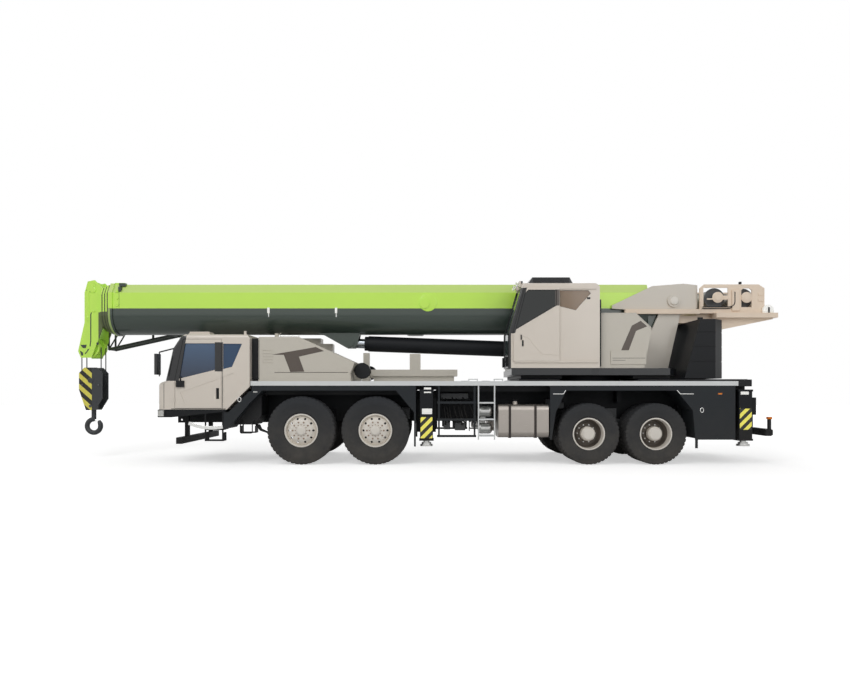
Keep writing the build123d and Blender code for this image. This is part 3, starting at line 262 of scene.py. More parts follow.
# %% Surface grain
def surface_grain():
    """Height = noise at one scale plus a third of noise at eight times that scale."""
    group, given, result = new_group("surface_grain", [("Scale", FLOAT, 60.0)], [("Height", FLOAT)])
    place = own_place(group)
    coarse = noise(group, place, given["Scale"], 2.0)
    fine = noise(group, place, calc(group, "MULTIPLY", given["Scale"], 8.0), 1.0)
    connect(group, result, Height=calc(group, "MULTIPLY_ADD", fine, 0.33, coarse))
    return group


grain_group = surface_grain()


# %% A level and warning stripes
def level_mask():
    """0.5 - (z - level) / softness, clamped: 1 below the level and 0 above it."""
    inputs = [("Level", FLOAT, 1.0), ("Softness", FLOAT, 0.003)]
    group, given, result = new_group("level_mask", inputs, [("Mask", FLOAT)])
    above = calc(group, "SUBTRACT", own_xyz(group)["Z"], given["Level"])
    ratio = calc(group, "DIVIDE", above, given["Softness"])
    connect(group, result, Mask=calc(group, "SUBTRACT", 0.5, ratio, use_clamp=True))
    return group


def slant_stripes():
    """1 where the fraction of (x * slope + z + shift) / width is under a half, else 0."""
    inputs = [("Slope", FLOAT, 1.0), ("Width", FLOAT, 0.16), ("Shift", FLOAT, 0.0)]
    group, given, result = new_group("slant_stripes", inputs, [("Mask", FLOAT)])
    place = own_xyz(group)
    run = calc(group, "MULTIPLY_ADD", place["X"], given["Slope"], place["Z"])
    ratio = calc(group, "DIVIDE", calc(group, "ADD", run, given["Shift"]), given["Width"])
    connect(group, result, Mask=calc(group, "LESS_THAN", calc(group, "FRACT", ratio), 0.5))
    return group


level_group = level_mask()
stripe_group = slant_stripes()


# %% Boxes and pillars
def box_mask():
    """1 where the smallest of p - Low and High - p is above 0, with p = (x, |y|, z)."""
    group, given, result = new_group("box_mask", [("Low", VECTOR), ("High", VECTOR)], [("Mask", FLOAT)])
    place = own_xyz(group)
    width = calc(group, "ABSOLUTE", place["Y"])
    spot = add_node(group, "CombineXYZ", X=place["X"], Y=width, Z=place["Z"]).outputs[0]
    over = calc(group, "SUBTRACT", spot, given["Low"], kind="VectorMath")
    under = calc(group, "SUBTRACT", given["High"], spot, kind="VectorMath")
    least = calc(group, "MINIMUM", over, under, kind="VectorMath")
    parts = add_node(group, "SeparateXYZ", Vector=least).outputs
    smallest = calc(group, "MINIMUM", calc(group, "MINIMUM", parts["X"], parts["Y"]), parts["Z"])
    connect(group, result, Mask=calc(group, "GREATER_THAN", smallest, 0.0))
    return group


def pillar_mask():
    """1 in front of the line x = Base + Lean * z, between the heights Low and High."""
    inputs = [("Base", FLOAT, 0.0), ("Lean", FLOAT, 0.0), ("Low", FLOAT, 0.0), ("High", FLOAT, 9.0)]
    group, given, result = new_group("pillar_mask", inputs, [("Mask", FLOAT)])
    place = own_xyz(group)
    line = calc(group, "MULTIPLY_ADD", place["Z"], given["Lean"], given["Base"])
    ahead = calc(group, "LESS_THAN", place["X"], line)
    above = calc(group, "GREATER_THAN", place["Z"], given["Low"])
    below = calc(group, "LESS_THAN", place["Z"], given["High"])
    both = calc(group, "MULTIPLY", ahead, above)
    connect(group, result, Mask=calc(group, "MULTIPLY", both, below))
    return group


box_group = box_mask()
pillar_group = pillar_mask()

# %% [markdown]
# ## Paint
# Paint on a new machine is even, with a soft gloss and a hardly visible peel. The
# lower pieces carry a little road dust. Each finish is one Principled shader: the
# groups give it colours and heights, and what is the same all over is set on it.

# %% Painted steel
def new_material(name, **values):
    """A material with one Principled shader, with these values set on it."""
    material = bpy.data.materials.new(name)
    material.use_nodes = True
    tree = material.node_tree
    shader = tree.nodes["Principled BSDF"]
    connect(tree, shader.inputs, **values)
    print("material", name)
    return material, tree, shader.inputs


def painted(
    name, colour, gloss=0.35, drift=0.1, dust=0.25, dust_top=1.6, peel=0.1, coat=0.0, metal=0.0, scale=1.5,
    specular=0.5,
):
    """Paint: colour drift, then dust by height; roughness rises with the dust."""
    material, tree, shader = new_material(
        name, Metallic=metal, Coat_Weight=coat, Coat_Roughness=0.08, Specular_IOR_Level=specular
    )
    drifted = use_group(tree, drift_group, Colour=colour, Amount=drift, Scale=scale)
    dusty = use_group(tree, dust_group, Colour=drifted.outputs["Colour"], Amount=dust, High=dust_top)
    rough = between(tree, dusty.outputs["Mask"], gloss, min(gloss + 0.5, 0.95))
    grain = use_group(tree, grain_group, Scale=90.0)
    bump = add_node(tree, "Bump", Strength=peel, Distance=0.002, Height=grain.outputs["Height"])
    connect(tree, shader, Base_Color=dusty.outputs["Colour"], Roughness=rough, Normal=bump.outputs["Normal"])
    return material


beige_paint = painted("beige_paint", beige, gloss=0.28, drift=0.05, dust=0.12, dust_top=1.5, coat=0.35)
cab_paint = painted("cab_paint", beige, gloss=0.28, drift=0.05, dust=0.12, dust_top=1.5, coat=0.35)
operator_paint = painted("operator_paint", beige, gloss=0.3, drift=0.05, dust=0.0, coat=0.3)
hood_paint = painted("hood_paint", tone(170, 165, 155), gloss=0.38, drift=0.06, dust=0.05)
brown_mark = painted("brown_mark", tone(74, 66, 60), gloss=0.38, drift=0.05, dust=0.0)
deck_paint = painted("deck_paint", tone(186, 188, 188), gloss=0.45, drift=0.08, dust=0.1)
lime_paint = painted("lime_paint", lime, gloss=0.3, drift=0.05, dust=0.0, coat=0.4)
dark_boom_paint = painted("dark_boom_paint", boom_green, gloss=0.35, drift=0.1, dust=0.0)
lattice_paint = painted("lattice_paint", tone(42, 48, 44), gloss=0.45, drift=0.15, dust=0.0)
winch_paint = painted("winch_paint", tone(200, 184, 166), gloss=0.4, drift=0.12, dust=0.0, scale=3.0)
hook_paint = painted("hook_paint", tone(44, 46, 48), gloss=0.45, drift=0.2, dust=0.0)
white_plate = painted("white_plate", tone(228, 228, 224), gloss=0.4, drift=0.05, dust=0.08)

# %% Frame, wheels and trim
dull = 0.22
fender_paint = painted(
    "fender_paint", tone(30, 33, 36), gloss=0.5, drift=0.12, dust=0.1, dust_top=1.3, specular=dull
)
chassis_paint = painted(
    "chassis_paint", frame_black, gloss=0.55, drift=0.2, dust=0.12, dust_top=1.2, specular=dull
)
weight_paint = painted("weight_paint", tone(11, 13, 16), gloss=0.42, drift=0.1, dust=0.0, specular=dull)
black_trim = painted(
    "black_trim", rubber_black, gloss=0.5, drift=0.1, dust=0.08, dust_top=1.5, specular=dull
)
cast_steel = painted("cast_steel", tone(70, 72, 74), gloss=0.5, drift=0.25, dust=0.3, dust_top=1.2)
rim_paint = painted("rim_paint", tone(196, 191, 183), gloss=0.4, drift=0.1, dust=0.3, dust_top=1.2)
nut_brown = painted("nut_brown", tone(128, 106, 88), gloss=0.5, drift=0.3, dust=0.1)
silver_trim = painted("silver_trim", tone(205, 205, 203), gloss=0.25, drift=0.05, dust=0.05, metal=0.8)

# %% [markdown]
# ## Two colours on one piece
# The upper half of the boom is bright green and the lower, rounded half is dark, with
# a straight edge along its whole length. The turntable is parted in the same way, and
# the warning plates change colour in slanted stripes. Each is one paint whose colour
# comes from a mask. The masks read Object coordinates, which stay with the piece, so
# the boom's edge luffs with the boom.

# %% Two-colour paint
def two_colours(name, first, second, group, masking, **finish):
    """Paint in the first colour where the group's mask is 0 and in the second where it is 1."""
    material = painted(name, first, **finish)
    tree = material.node_tree
    drifted = next(n for n in tree.nodes if n.type == "GROUP" and n.node_tree == drift_group)
    mask = use_group(tree, group, **masking).outputs["Mask"]
    connect(tree, drifted.inputs, Colour=mixed(tree, mask, first, second))
    return material


warning_yellow = tone(232, 222, 96)
warning_black = tone(28, 30, 26)
boom_edge = {"Level": 3.235}
web_foot = {"Level": 1.935}
slanted = {"Slope": -1.0, "Width": 0.19}
clean = {"drift": 0.05, "dust": 0.0, "coat": 0.4}
worn = {"drift": 0.06, "dust": 0.1, "dust_top": 1.5}
boom_paint = two_colours("boom_paint", lime, boom_green, level_group, boom_edge, gloss=0.3, **clean)
turntable_paint = two_colours(
    "turntable_paint", turntable_grey, frame_black, level_group, web_foot, gloss=0.4, **clean
)
plate_stripes = two_colours(
    "plate_stripes", warning_yellow, warning_black, stripe_group, slanted, gloss=0.4, **worn
)
print("edge of the boom's colours", boom_edge["Level"], "m")

# %% [markdown]
# ## Glass, rubber, chrome and polished metal
# The cabs have dark tinted glass. The tyres are matte rubber with a dusty tread. The
# lift cylinder's rod is hard chrome, and the tanks are bare metal, brushed lengthwise.

# %% Glass
def tinted_glass(name, colour, clear):
    """Glossy, partly transmitting glass, whose tone and roughness drift a little."""
    material, tree, shader = new_material(name, Base_Color=colour, Transmission_Weight=clear, IOR=1.45)
    drift = use_group(tree, drift_group, Colour=colour, Amount=0.25, Scale=0.8)
    rough = between(tree, drift.outputs["Mask"], 0.03, 0.09)
    connect(tree, shader, Base_Color=drift.outputs["Colour"], Roughness=rough)
    return material


driver_glass = tinted_glass("driver_glass", tone(52, 82, 116), clear=0.5)
operator_pane = tinted_glass("operator_pane", tone(84, 98, 98), clear=0.6)
lamp_glass = tinted_glass("lamp_glass", tone(225, 225, 220), clear=0.5)
amber_lens = tinted_glass("amber_lens", tone(215, 120, 20), clear=0.3)


# %% Rubber
def rubber(name, colour):
    """Matte rubber: paint with much drift and dust, hardly any gloss and a strong grain."""
    return painted(
        name, colour, gloss=0.78, drift=0.25, dust=0.3, dust_top=1.3, peel=0.4, scale=6.0, specular=0.35
    )


tyre_rubber = rubber("tyre_rubber", tone(33, 35, 38))
trim_rubber = rubber("trim_rubber", rubber_black)


# %% Brushed and polished metal
def brushed(name, colour, roughness, stretch, metal=1.0):
    """Metal whose grain is noise stretched along one axis, in its roughness and bump."""
    material, tree, shader = new_material(name, Metallic=metal)
    drift = use_group(tree, drift_group, Colour=colour, Amount=0.15, Scale=2.0)
    grain_place = add_node(tree, "Mapping", Vector=own_place(tree), Scale=stretch)
    lines = noise(tree, grain_place.outputs["Vector"], 60.0, 3.0)
    rough = between(tree, lines, roughness * 0.7, roughness * 1.4)
    bump = add_node(tree, "Bump", Strength=0.08, Distance=0.002, Height=lines)
    connect(tree, shader, Base_Color=drift.outputs["Colour"], Roughness=rough, Normal=bump.outputs["Normal"])
    return material


rod_chrome = brushed("rod_chrome", tone(150, 155, 160), roughness=0.18, stretch=(0.2, 4.0, 4.0))
tank_metal = brushed("tank_metal", tone(150, 144, 138), roughness=0.3, stretch=(0.15, 3.0, 3.0), metal=0.9)
bare_steel = brushed("bare_steel", tone(176, 176, 174), roughness=0.32, stretch=(2.0, 2.0, 2.0))
rope_steel = brushed("rope_steel", tone(120, 118, 112), roughness=0.45, stretch=(5.0, 0.5, 5.0))

# %% [markdown]
# ## Regions of another finish
# One solid of the frame often carries several finishes: a cab has dark pillars, a black
# grille and the door's own pane. A mask says where the other finish is, and a mix takes
# it there, so the solid's mesh stays as it is. Some regions are painted light and shade
# instead: a sheen on the door pane, a highlight on the boom's top, and shade between the
# boom's collars and in the rear rims' dishes.

# %% Masks on a finish
trim_black = tone(20, 21, 23)


def region_finish(material, mask, colour, roughness=None):
    """Where the mask is 1, the base colour becomes this colour and the roughness this value."""
    tree = material.node_tree
    shader = tree.nodes["Principled BSDF"].inputs
    under = shader["Base Color"].links[0].from_socket
    connect(tree, shader, Base_Color=mixed(tree, mask, under, colour))
    if roughness is not None:
        under = shader["Roughness"].links[0].from_socket
        connect(tree, shader, Roughness=mixed(tree, mask, under, roughness, "FLOAT"))


def box_regions(material, rows):
    """Another finish inside each box from low to high; y is taken without its sign."""
    for low, high, colour, roughness in rows.values():
        mask = use_group(material.node_tree, box_group, Low=low, High=high)
        region_finish(material, mask.outputs["Mask"], colour, roughness)
    print(material.name, "regions", list(rows))


def pillar_region(material, base, lean, low, high, roughness):
    """Dark trim in front of a leaning line, between two heights."""
    mask = use_group(material.node_tree, pillar_group, Base=base, Lean=lean, Low=low, High=high)
    region_finish(material, mask.outputs["Mask"], trim_black, roughness)


def painted_sheen_region(material, low, high, heights, colour, most):
    """Painted sheen: inside a box a colour comes in, from none at the lower height to most at the upper one.
    """
    tree = material.node_tree
    inside = use_group(tree, box_group, Low=low, High=high).outputs["Mask"]
    rise = between(tree, own_xyz(tree)["Z"], 0.0, most, *heights)
    region_finish(material, calc(tree, "MULTIPLY", rise, inside), colour)


print("region helpers ready")

# %% The driver's cab
pane_low = (-4.84, 1.3594, 1.70)
pane_high = (-4.09, 1.3686, 2.43)
cab_regions = {
    "door pillar": ((-4.112, 1.378, 1.86), (-3.952, 1.40, 2.44), trim_black, 0.3),
    "grille": ((-5.30, -0.1, 1.236), (-5.215, 0.625, 1.504), trim_black, 0.5),
    "door pane": (pane_low, pane_high, tone(34, 50, 74), 0.04),
    "mirror": ((-5.22, 1.43, 1.75), (-5.16, 1.65, 2.30), trim_black, 0.4),
}
lamp_regions = {"headlamps": ((-5.27, 0.7, 0.95), (-5.20, 1.2, 1.36), tone(214, 216, 214), 0.08)}
pillar_region(cab_paint, base=-5.11, lean=0.170, low=1.672, high=2.572, roughness=0.2)
box_regions(cab_paint, cab_regions)
# Painted reflection on the door pane: a lighter blue comes in towards its top.
painted_sheen_region(cab_paint, pane_low, pane_high, (1.75, 2.55), tone(78, 112, 150), 0.7)
box_regions(driver_glass, lamp_regions)

# %% The operator's cab
operator_regions = {
    "roof unit": ((2.0, 0.6, 3.6305), (3.2, 1.3, 3.80), tone(48, 50, 52), 0.5),
    "front sill": ((1.70, 0.5, 1.90), (1.786, 1.36, 2.66), trim_black, 0.35),
    "door pane": ((1.85, 1.3694, 2.68), (2.71, 1.3786, 3.50), tone(12, 19, 18), 0.05),
}
post_region = {"door post": ((2.665, 1.35, 3.17), (2.765, 1.395, 3.49), tone(84, 76, 70), 0.3)}
quarter_region = {"rear quarter": ((2.72, 1.30, 3.00), (3.45, 1.40, 3.52), tone(196, 172, 148), 0.08)}
box_regions(operator_paint, operator_regions)
pillar_region(operator_paint, base=1.184, lean=0.26, low=2.62, high=3.53, roughness=0.15)
box_regions(operator_paint, post_region)
box_regions(operator_pane, quarter_region)

# %% Boom, rims and tanks
# Painted shade: the sections' collars are darker low down, and dark strips fill the gaps between collars.
collar_gaps = (-6.738, -6.810, -6.882)
gap_shade_green = tone(52, 62, 34)
# Painted highlight: the boom's top and shoulders are a paler lime, where light falls on them.
boom_regions = {
    "painted highlight on top": ((-7.6, -0.1, 3.574), (6.2, 0.50, 3.80), highlight_lime, 0.3),
    "front collar": ((-6.72, -0.1, 2.60), (-6.655, 0.50, 3.24), tone(158, 182, 104), 0.35),
}
collar_shade_regions = {"shade": ((-7.00, -0.1, 2.50), (-6.714, 0.50, 3.17), tone(84, 96, 48), 0.4)}
for x in collar_gaps:
    collar_shade_regions[f"gap {x}"] = ((x, -0.1, 2.60), (x + 0.024, 0.50, 3.90), gap_shade_green, 0.5)
# Painted shade: the deep dish inside each rear rim is darker, where shade falls into it.
rim_shade_regions = {"shaded dish of the rear rims": ((2.8, 0.98, 0.1), (5.3, 1.19, 1.1), tone(112, 104, 96), 0.5)}
tank_regions = {}
for x in (1.735, 2.245):
    tank_regions[f"band {x}"] = ((x, 0.7, 0.30), (x + 0.05, 1.45, 1.30), tone(66, 62, 60), 0.5)
box_regions(boom_paint, boom_regions)
box_regions(lime_paint, collar_shade_regions)
box_regions(rim_paint, rim_shade_regions)
box_regions(tank_metal, tank_regions)


# %% The hook block's cheeks
def stripe_cheeks():
    """Yellow on the front half of each cheek, and black where the stripes' mask is 1 too."""
    tree = hook_paint.node_tree
    low = (-7.60, 0.126, 1.04)
    high = (-7.19, 0.153, 1.99)
    cheeks = use_group(tree, box_group, Low=low, High=high).outputs["Mask"]
    slant = use_group(tree, stripe_group, Slope=0.9, Width=0.24, Shift=0.05).outputs["Mask"]
    region_finish(hook_paint, cheeks, warning_yellow, 0.4)
    region_finish(hook_paint, calc(tree, "MULTIPLY", cheeks, slant), warning_black)
    print("cheeks striped from", low, "to", high)


stripe_cheeks()

# %% [markdown]
# ## Finishing the frame's own pieces
# Most of the crane's pieces already have their real shape, so they only need the
# right paint. A short table says which finish each group of pieces takes.

# %% Paint the frame
finishes = {
    "chassis_frame": chassis_paint, "deck": deck_paint, "fenders": fender_paint, "engine": cast_steel,
    "engine_hood": hood_paint, "cab_shell": cab_paint, "cab_door": cab_paint, "cab_glass": driver_glass,
    "cab_interior": black_trim, "axles": cast_steel, "side_tanks": tank_metal, "air_tanks": bare_steel,
    "boom_rest": hood_paint, "turntable": turntable_paint, "machinery_covers": hood_paint,
    "counterweight": weight_paint, "operator_cab": operator_paint, "operator_glass": operator_pane,
    "operator_interior": black_trim, "operator_door": operator_paint, "winch_frame": winch_paint,
    "winch_drum": cast_steel, "boom_base": boom_paint, "boom_section": lime_paint, "boom_head": lime_paint,
    "jib": lattice_paint, "lift_barrel": chassis_paint, "lift_rod": rod_chrome, "hook_block": hook_paint,
    "tyre": tyre_rubber, "rim": rim_paint, "knuckle": cast_steel, "outrigger_beam": chassis_paint,
    "outrigger_jack": bare_steel,
}


def finish_for(name):
    """A node's finish: the one whose key is the longest start of the node's name."""
    return finishes[max((start for start in finishes if name.startswith(start)), key=len)]


for name, node in nodes.items():
    node.data.materials.clear()
    node.data.materials.append(finish_for(name))
print("painted", len(nodes), "pieces")

# %% [markdown]
# ## Making surfaces
# Every added piece is worked out as arrays of points. A part is a pair of points and
# faces: a grid of points joined into quads, a flat outline with a thickness, a round
# section carried along a path, or a profile turned about an axis. A piece is one or
# more such parts, and most are made once for each side of the crane.

# %% From parts to a piece
SIDES = (-1, 1)
hands = {"left": -1, "right": 1}


def merge(parts):
    """Several (points, faces) pairs as one; each pair's faces are moved on by the points before."""
    points, faces, start = [], [], 0
    for some_points, some_faces in parts:
        flat = np.asarray(some_points, float).reshape(-1, 3)
        points.append(flat)
        faces += [[v + start for v in face] for face in some_faces]
        start += len(flat)
    return np.concatenate(points), faces


def finish_piece(name, parts, body, material, bevel=0.0, smooth=False):
    """Make the mesh, turn its faces outward, bevel it and hand it to its body."""
    points, faces = merge(parts)
    mesh = bpy.data.meshes.new(name)
    mesh.from_pydata(points.tolist(), [], faces)
    shape = bmesh.new()
    shape.from_mesh(mesh)
    bmesh.ops.remove_doubles(shape, verts=shape.verts, dist=1e-6)
    bmesh.ops.recalc_face_normals(shape, faces=shape.faces)
    shape.to_mesh(mesh)
    shape.free()
    mesh.materials.append(material)
    if smooth:
        mesh.shade_smooth()
        mesh.set_sharp_from_angle(angle=math.radians(35))
    piece = bpy.data.objects.new(name, mesh)
    bpy.context.scene.collection.objects.link(piece)
    if bevel:
        edge = piece.modifiers.new("edge", "BEVEL")
        edge.width = bevel
        edge.segments = 2
        edge.limit_method = "ANGLE"
    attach(piece, body)
    print("made", name, "with", len(mesh.polygons), "faces")
    return piece


def grid_faces(rows, columns):
    """Quads between neighbours in a grid of rows by columns, whose columns join round."""
    i = np.arange(rows - 1)[:, None] * columns
    j = np.arange(columns)[None, :]
    k = (j + 1) % columns
    quads = np.stack([i + j, i + k, i + columns + k, i + columns + j], axis=-1)
    return quads.reshape(-1, 4).tolist()


def capped(rows, columns):
    """A closed tube's quads, with one face over each end."""
    first = list(range(columns))
    last = list(range((rows - 1) * columns, rows * columns))
    return grid_faces(rows, columns) + [first[::-1], last]


print("a tube of 2 rings of 4 points has", len(capped(2, 4)), "faces")


# %% Outline with a thickness
def span(side, distances):
    """Two distances from the middle as the low and high y on one side."""
    return sorted((side * distances[0], side * distances[1]))


def slab(outline, low, high):
    """An (x, z) outline's two copies at y = low and y = high, and the wall between."""
    flat = np.asarray(outline, float)
    layers = [np.stack([flat[:, 0], np.full(len(flat), y), flat[:, 1]], axis=-1) for y in (low, high)]
    return np.stack(layers), capped(2, len(flat))


def brick(x, y, z):
    """A block between two values on each axis."""
    return slab([(x[0], z[0]), (x[1], z[0]), (x[1], z[1]), (x[0], z[1])], y[0], y[1])


def block_set(name, table, body, material, bevel=0.004, sides=SIDES):
    """One piece of blocks: x and z pairs, and y as a pair of distances from the middle."""
    parts = [brick(x, span(side, y), z) for side in sides for x, y, z in table.values()]
    finish_piece(name, parts, body, material, bevel=bevel)


def ribbon(centre, half, y):
    """A bar of height 2 * half whose middle follows the (x, z) points, between two y values."""
    centre = np.asarray(centre, float)
    ahead = np.gradient(centre, axis=0)
    ahead /= np.linalg.norm(ahead, axis=1, keepdims=True)
    across = np.stack([-ahead[:, 1], ahead[:, 0]], axis=-1) * half
    return slab(np.concatenate([centre + across, (centre - across)[::-1]]), *y)


print("a block has", len(brick((0, 1), (0, 1), (0, 1))[1]), "faces")


# %% Round section along a path
def rounded_path(corners, radius, steps=6):
    """Each inner corner c becomes the curve (1-t)^2 a + 2t(1-t) c + t^2 b, a and b at the radius."""
    corners = np.asarray(corners, float)
    path = [corners[0]]
    for before, corner, after in zip(corners[:-2], corners[1:-1], corners[2:]):
        into, out = before - corner, after - corner
        reach_in = min(radius, np.linalg.norm(into) * 0.48)
        reach_out = min(radius, np.linalg.norm(out) * 0.48)
        a = corner + into / np.linalg.norm(into) * reach_in
        b = corner + out / np.linalg.norm(out) * reach_out
        t = np.linspace(0, 1, steps)[:, None]
        path.extend((1 - t) ** 2 * a + 2 * t * (1 - t) * corner + t**2 * b)
    path.append(corners[-1])
    return np.array(path)


def tube(path, radius, sides=12):
    """Circles of the radius carried along the path, each square to the path's direction."""
    path = np.asarray(path, float)
    ahead = np.gradient(path, axis=0)
    ahead /= np.linalg.norm(ahead, axis=1, keepdims=True)
    side = np.zeros_like(path)
    side[0] = np.cross(ahead[0], [0.31, 0.77, 0.55])
    for i in range(1, len(path)):
        side[i] = side[i - 1] - ahead[i] * np.dot(side[i - 1], ahead[i])
    side /= np.linalg.norm(side, axis=1, keepdims=True)
    up = np.cross(ahead, side)
    angle = np.linspace(0, 2 * np.pi, sides, endpoint=False)
    ring = np.cos(angle)[None, :, None] * side[:, None] + np.sin(angle)[None, :, None] * up[:, None]
    return path[:, None] + radius * ring, capped(len(path), sides)


def mirrored(points):
    """The same points on the other side of the crane."""
    return np.asarray(points, float) * (1, -1, 1)


print("a rounded corner has", len(rounded_path([(0, 0), (1, 0), (1, 1)], 0.1)) - 2, "points")


# %% Profile turned about an axis
def turned(profile, centre, axis="y", steps=48, sign=1.0):
    """Points at (distance along the axis, radius) swept through a full circle."""
    profile = np.asarray(profile, float)
    angle = np.linspace(0, 2 * np.pi, steps, endpoint=False)
    along = np.repeat(profile[:, :1] * sign, steps, axis=1)
    first = profile[:, 1:] * np.cos(angle)
    second = profile[:, 1:] * np.sin(angle)
    columns = {"y": (first, along, second), "x": (along, first, second), "z": (first, second, along)}[axis]
    return np.stack(columns, axis=-1) + np.asarray(centre, float), capped(len(profile), steps)


def disc(size, thick, chamfer, face):
    """Profile of a round head: a rim, then a chamfer to face * size, then a flat end."""
    end = thick + chamfer
    return [(0.0, size), (thick, size), (end, size * face), (end, size * 0.3)]


def discs(table, y, thick, chamfer, face, steps):
    """Round heads on a side plane at distance y, on both sides; a row is x, z and size."""
    heads = []
    for side in SIDES:
        for x, z, size in table.values():
            profile = disc(size, thick, chamfer, face)
            heads.append(turned(profile, (x, side * y, z), steps=steps, sign=side))
    return heads


print("a turned profile of 4 points has", len(turned(disc(1, 1, 1, 0.5), (0, 0, 0))[1]), "faces")

# %% [markdown]
# ## The floor
# The crane stands on a plain pale floor that keeps its shadow. Paper that is lit softly
# looks grey, so for the camera the floor also glows a little, and more so farther out,
# where no shadow falls. The light on the crane stays plain.

# %% Floor
def make_floor():
    """A large disc at the ground. Seen light = diffuse + glow, glow rising with the distance."""
    points, faces = turned([(0, 60.0), (-0.02, 60.0)], (0, 0, -0.001), axis="z", steps=64)
    mesh = bpy.data.meshes.new("floor")
    mesh.from_pydata(points.reshape(-1, 3).tolist(), [], faces)
    floor = bpy.data.objects.new("floor", mesh)
    bpy.context.scene.collection.objects.link(floor)
    material, tree, shader = new_material(
        "floor_paper", Roughness=0.9, Specular_IOR_Level=0.1, Base_Color=tone(246, 246, 246),
        Emission_Color=(1, 1, 1, 1),
    )
    far = add_node(tree, "VectorMath", operation="LENGTH", Vector=own_place(tree)).outputs["Value"]
    near_glow, far_glow = 0.5, 0.85
    near, far_off = 8.0, 30.0
    glow = between(tree, far, near_glow, far_glow, near, far_off)
    seen = calc(tree, "MULTIPLY", glow, add_node(tree, "LightPath").outputs["Is Camera Ray"])
    connect(tree, shader, Emission_Strength=seen)
    mesh.materials.append(material)
    print("floor from", near, "to", far_off, "m glows", near_glow, "to", far_glow)


make_floor()

# %% [markdown]
# ## Sky and lamps
# Soft studio light: a wide lamp above and to the left, a weaker one from the right, one
# behind, and an even sky. The sky looks white to the camera, in gloss and through
# glass, while the light that it gives to the crane has its own plain strength.

# %% Sky
def make_sky(strength, seen):
    """World: plain light of one strength, but a brighter white for camera, gloss and glass rays."""
    world = bpy.data.worlds.new("studio")
    bpy.context.scene.world = world
    world.use_nodes = True
    tree = world.node_tree
    plain = tree.nodes["Background"]
    connect(tree, plain.inputs, Color=(1, 1, 1, 1), Strength=strength)
    white = add_node(tree, "Background", Color=(1, 1, 1, 1), Strength=seen)
    rays = add_node(tree, "LightPath").outputs
    looks = calc(tree, "MAXIMUM", rays["Is Camera Ray"], rays["Is Glossy Ray"])
    looks = calc(tree, "MAXIMUM", looks, rays["Is Transmission Ray"])
    mix = add_node(tree, "MixShader")
    for socket, value in zip(mix.inputs, (looks, plain.outputs[0], white.outputs[0])):
        feed(tree, socket, value)
    connect(tree, tree.nodes["World Output"].inputs, Surface=mix.outputs[0])
    print("sky", strength, "seen as", seen)


make_sky(strength=0.36, seen=1.0)


# %% Lamps
def make_lamp(name, place, aim, size, power):
    """A square lamp at place that faces aim."""
    data = bpy.data.lights.new(name, "AREA")
    data.size = size
    data.energy = power
    lamp = bpy.data.objects.new(name, data)
    bpy.context.scene.collection.objects.link(lamp)
    lamp.location = place
    away = np.array(place, float) - np.array(aim, float)
    flat = math.hypot(away[0], away[1])
    lamp.rotation_euler = (math.atan2(flat, away[2]), 0, math.atan2(away[0], -away[1]))
    print("lamp", name, power, "W")


make_lamp("key", (-7.0, -13.0, 13.0), (0, 0, 1.5), size=9.0, power=850)
make_lamp("fill", (9.0, -12.0, 7.0), (1, 0, 1.5), size=8.0, power=290)
make_lamp("back", (3.0, 13.0, 12.0), (0, 0, 2), size=9.0, power=500)

# %% [markdown]
# ## Tyres
# The frame's tyres are smooth. Each gets a real section here: a bulged side wall with
# its ribs, a shoulder with crosswise lugs, and a tread with short cuts between ring
# grooves. The tread is a depth that depends on the angle and on the place across, so
# the whole tyre is one grid of points turned about the wheel's axis.

# %% Tyre section
def tyre_section(width, radius, bead):
    """Table of (across, radius, tread share) from one bead over the tread to the other."""
    wall_height = radius - bead
    foot = [(0.77, 0.001), (0.79, 0.020), (0.86, 0.045), (0.89, 0.048)]
    bulge = [(0.93, 0.36, 0), (0.985, 0.50, 0), (0.999, 0.60, 0), (0.985, 0.72, 0), (0.955, 0.76, 0)]
    bulge.append((0.95, 0.84, 0.5))
    shoulder = [(0.925, 0.024), (0.86, 0.006), (0.78, 0.001)]
    tread = [(a, 0.0005) for a in (0.62, 0.50, 0.47, 0.34, 0.31, 0.16, 0.10)]
    profile = [(-a, bead + rise, 0) for a, rise in foot]
    profile += [(-a, bead + part * wall_height, share) for a, part, share in bulge]
    profile += [(-a, radius - drop, 1) for a, drop in shoulder + tread]
    profile += [(-a, r, share) for a, r, share in profile[::-1]]
    return np.array([(a * width / 2, r, share) for a, r, share in profile])


print("section of", len(tyre_section(0.385, 0.682, 0.318)), "points")


# %% Tyre
groove_depth = 0.014
tyre_steps = 288


def make_tyre(x, middle, side, width, radius, bead, lugs):
    """Radius = section radius - depth * tread share * groove(angle, across).

    The groove is 1 in two pairs of rings and in the gaps between the shoulder lugs,
    where the fraction of angle * lugs, moved on by the distance across, is low. It is
    0.7 in short cuts between the rings, half a lug further round.
    """
    section = tyre_section(width, radius, bead)
    angle = np.linspace(0, 2 * np.pi, tyre_steps, endpoint=False)[None, :]
    across, ring, share = (section[:, i : i + 1] for i in range(3))
    part = np.abs(across / (width / 2))
    turn = (angle * lugs / (2 * np.pi) + 0.18 * part) % 1.0
    shoulder = (part > 0.52) & (turn < 0.3)
    cuts = (part < 0.52) & (part > 0.3) & (((turn + 0.5) % 1.0) < 0.16)
    rings = (np.abs(part - 0.485) < 0.03) | (np.abs(part - 0.13) < 0.035)
    groove = np.where(shoulder | rings, 1.0, np.where(cuts, 0.7, 0.0))
    r = ring - groove_depth * share * groove
    y = side * (middle + across) + 0 * angle
    points = np.stack([x + r * np.cos(angle), y, radius + r * np.sin(angle)], axis=-1)
    inner = points[[-1, 0]].copy()
    inner_r = bead + 0.0008
    inner[..., 0] = x + inner_r * np.cos(angle)
    inner[..., 2] = radius + inner_r * np.sin(angle)
    grid = np.concatenate([points, inner, points[:1]])
    return grid, grid_faces(len(grid), tyre_steps)


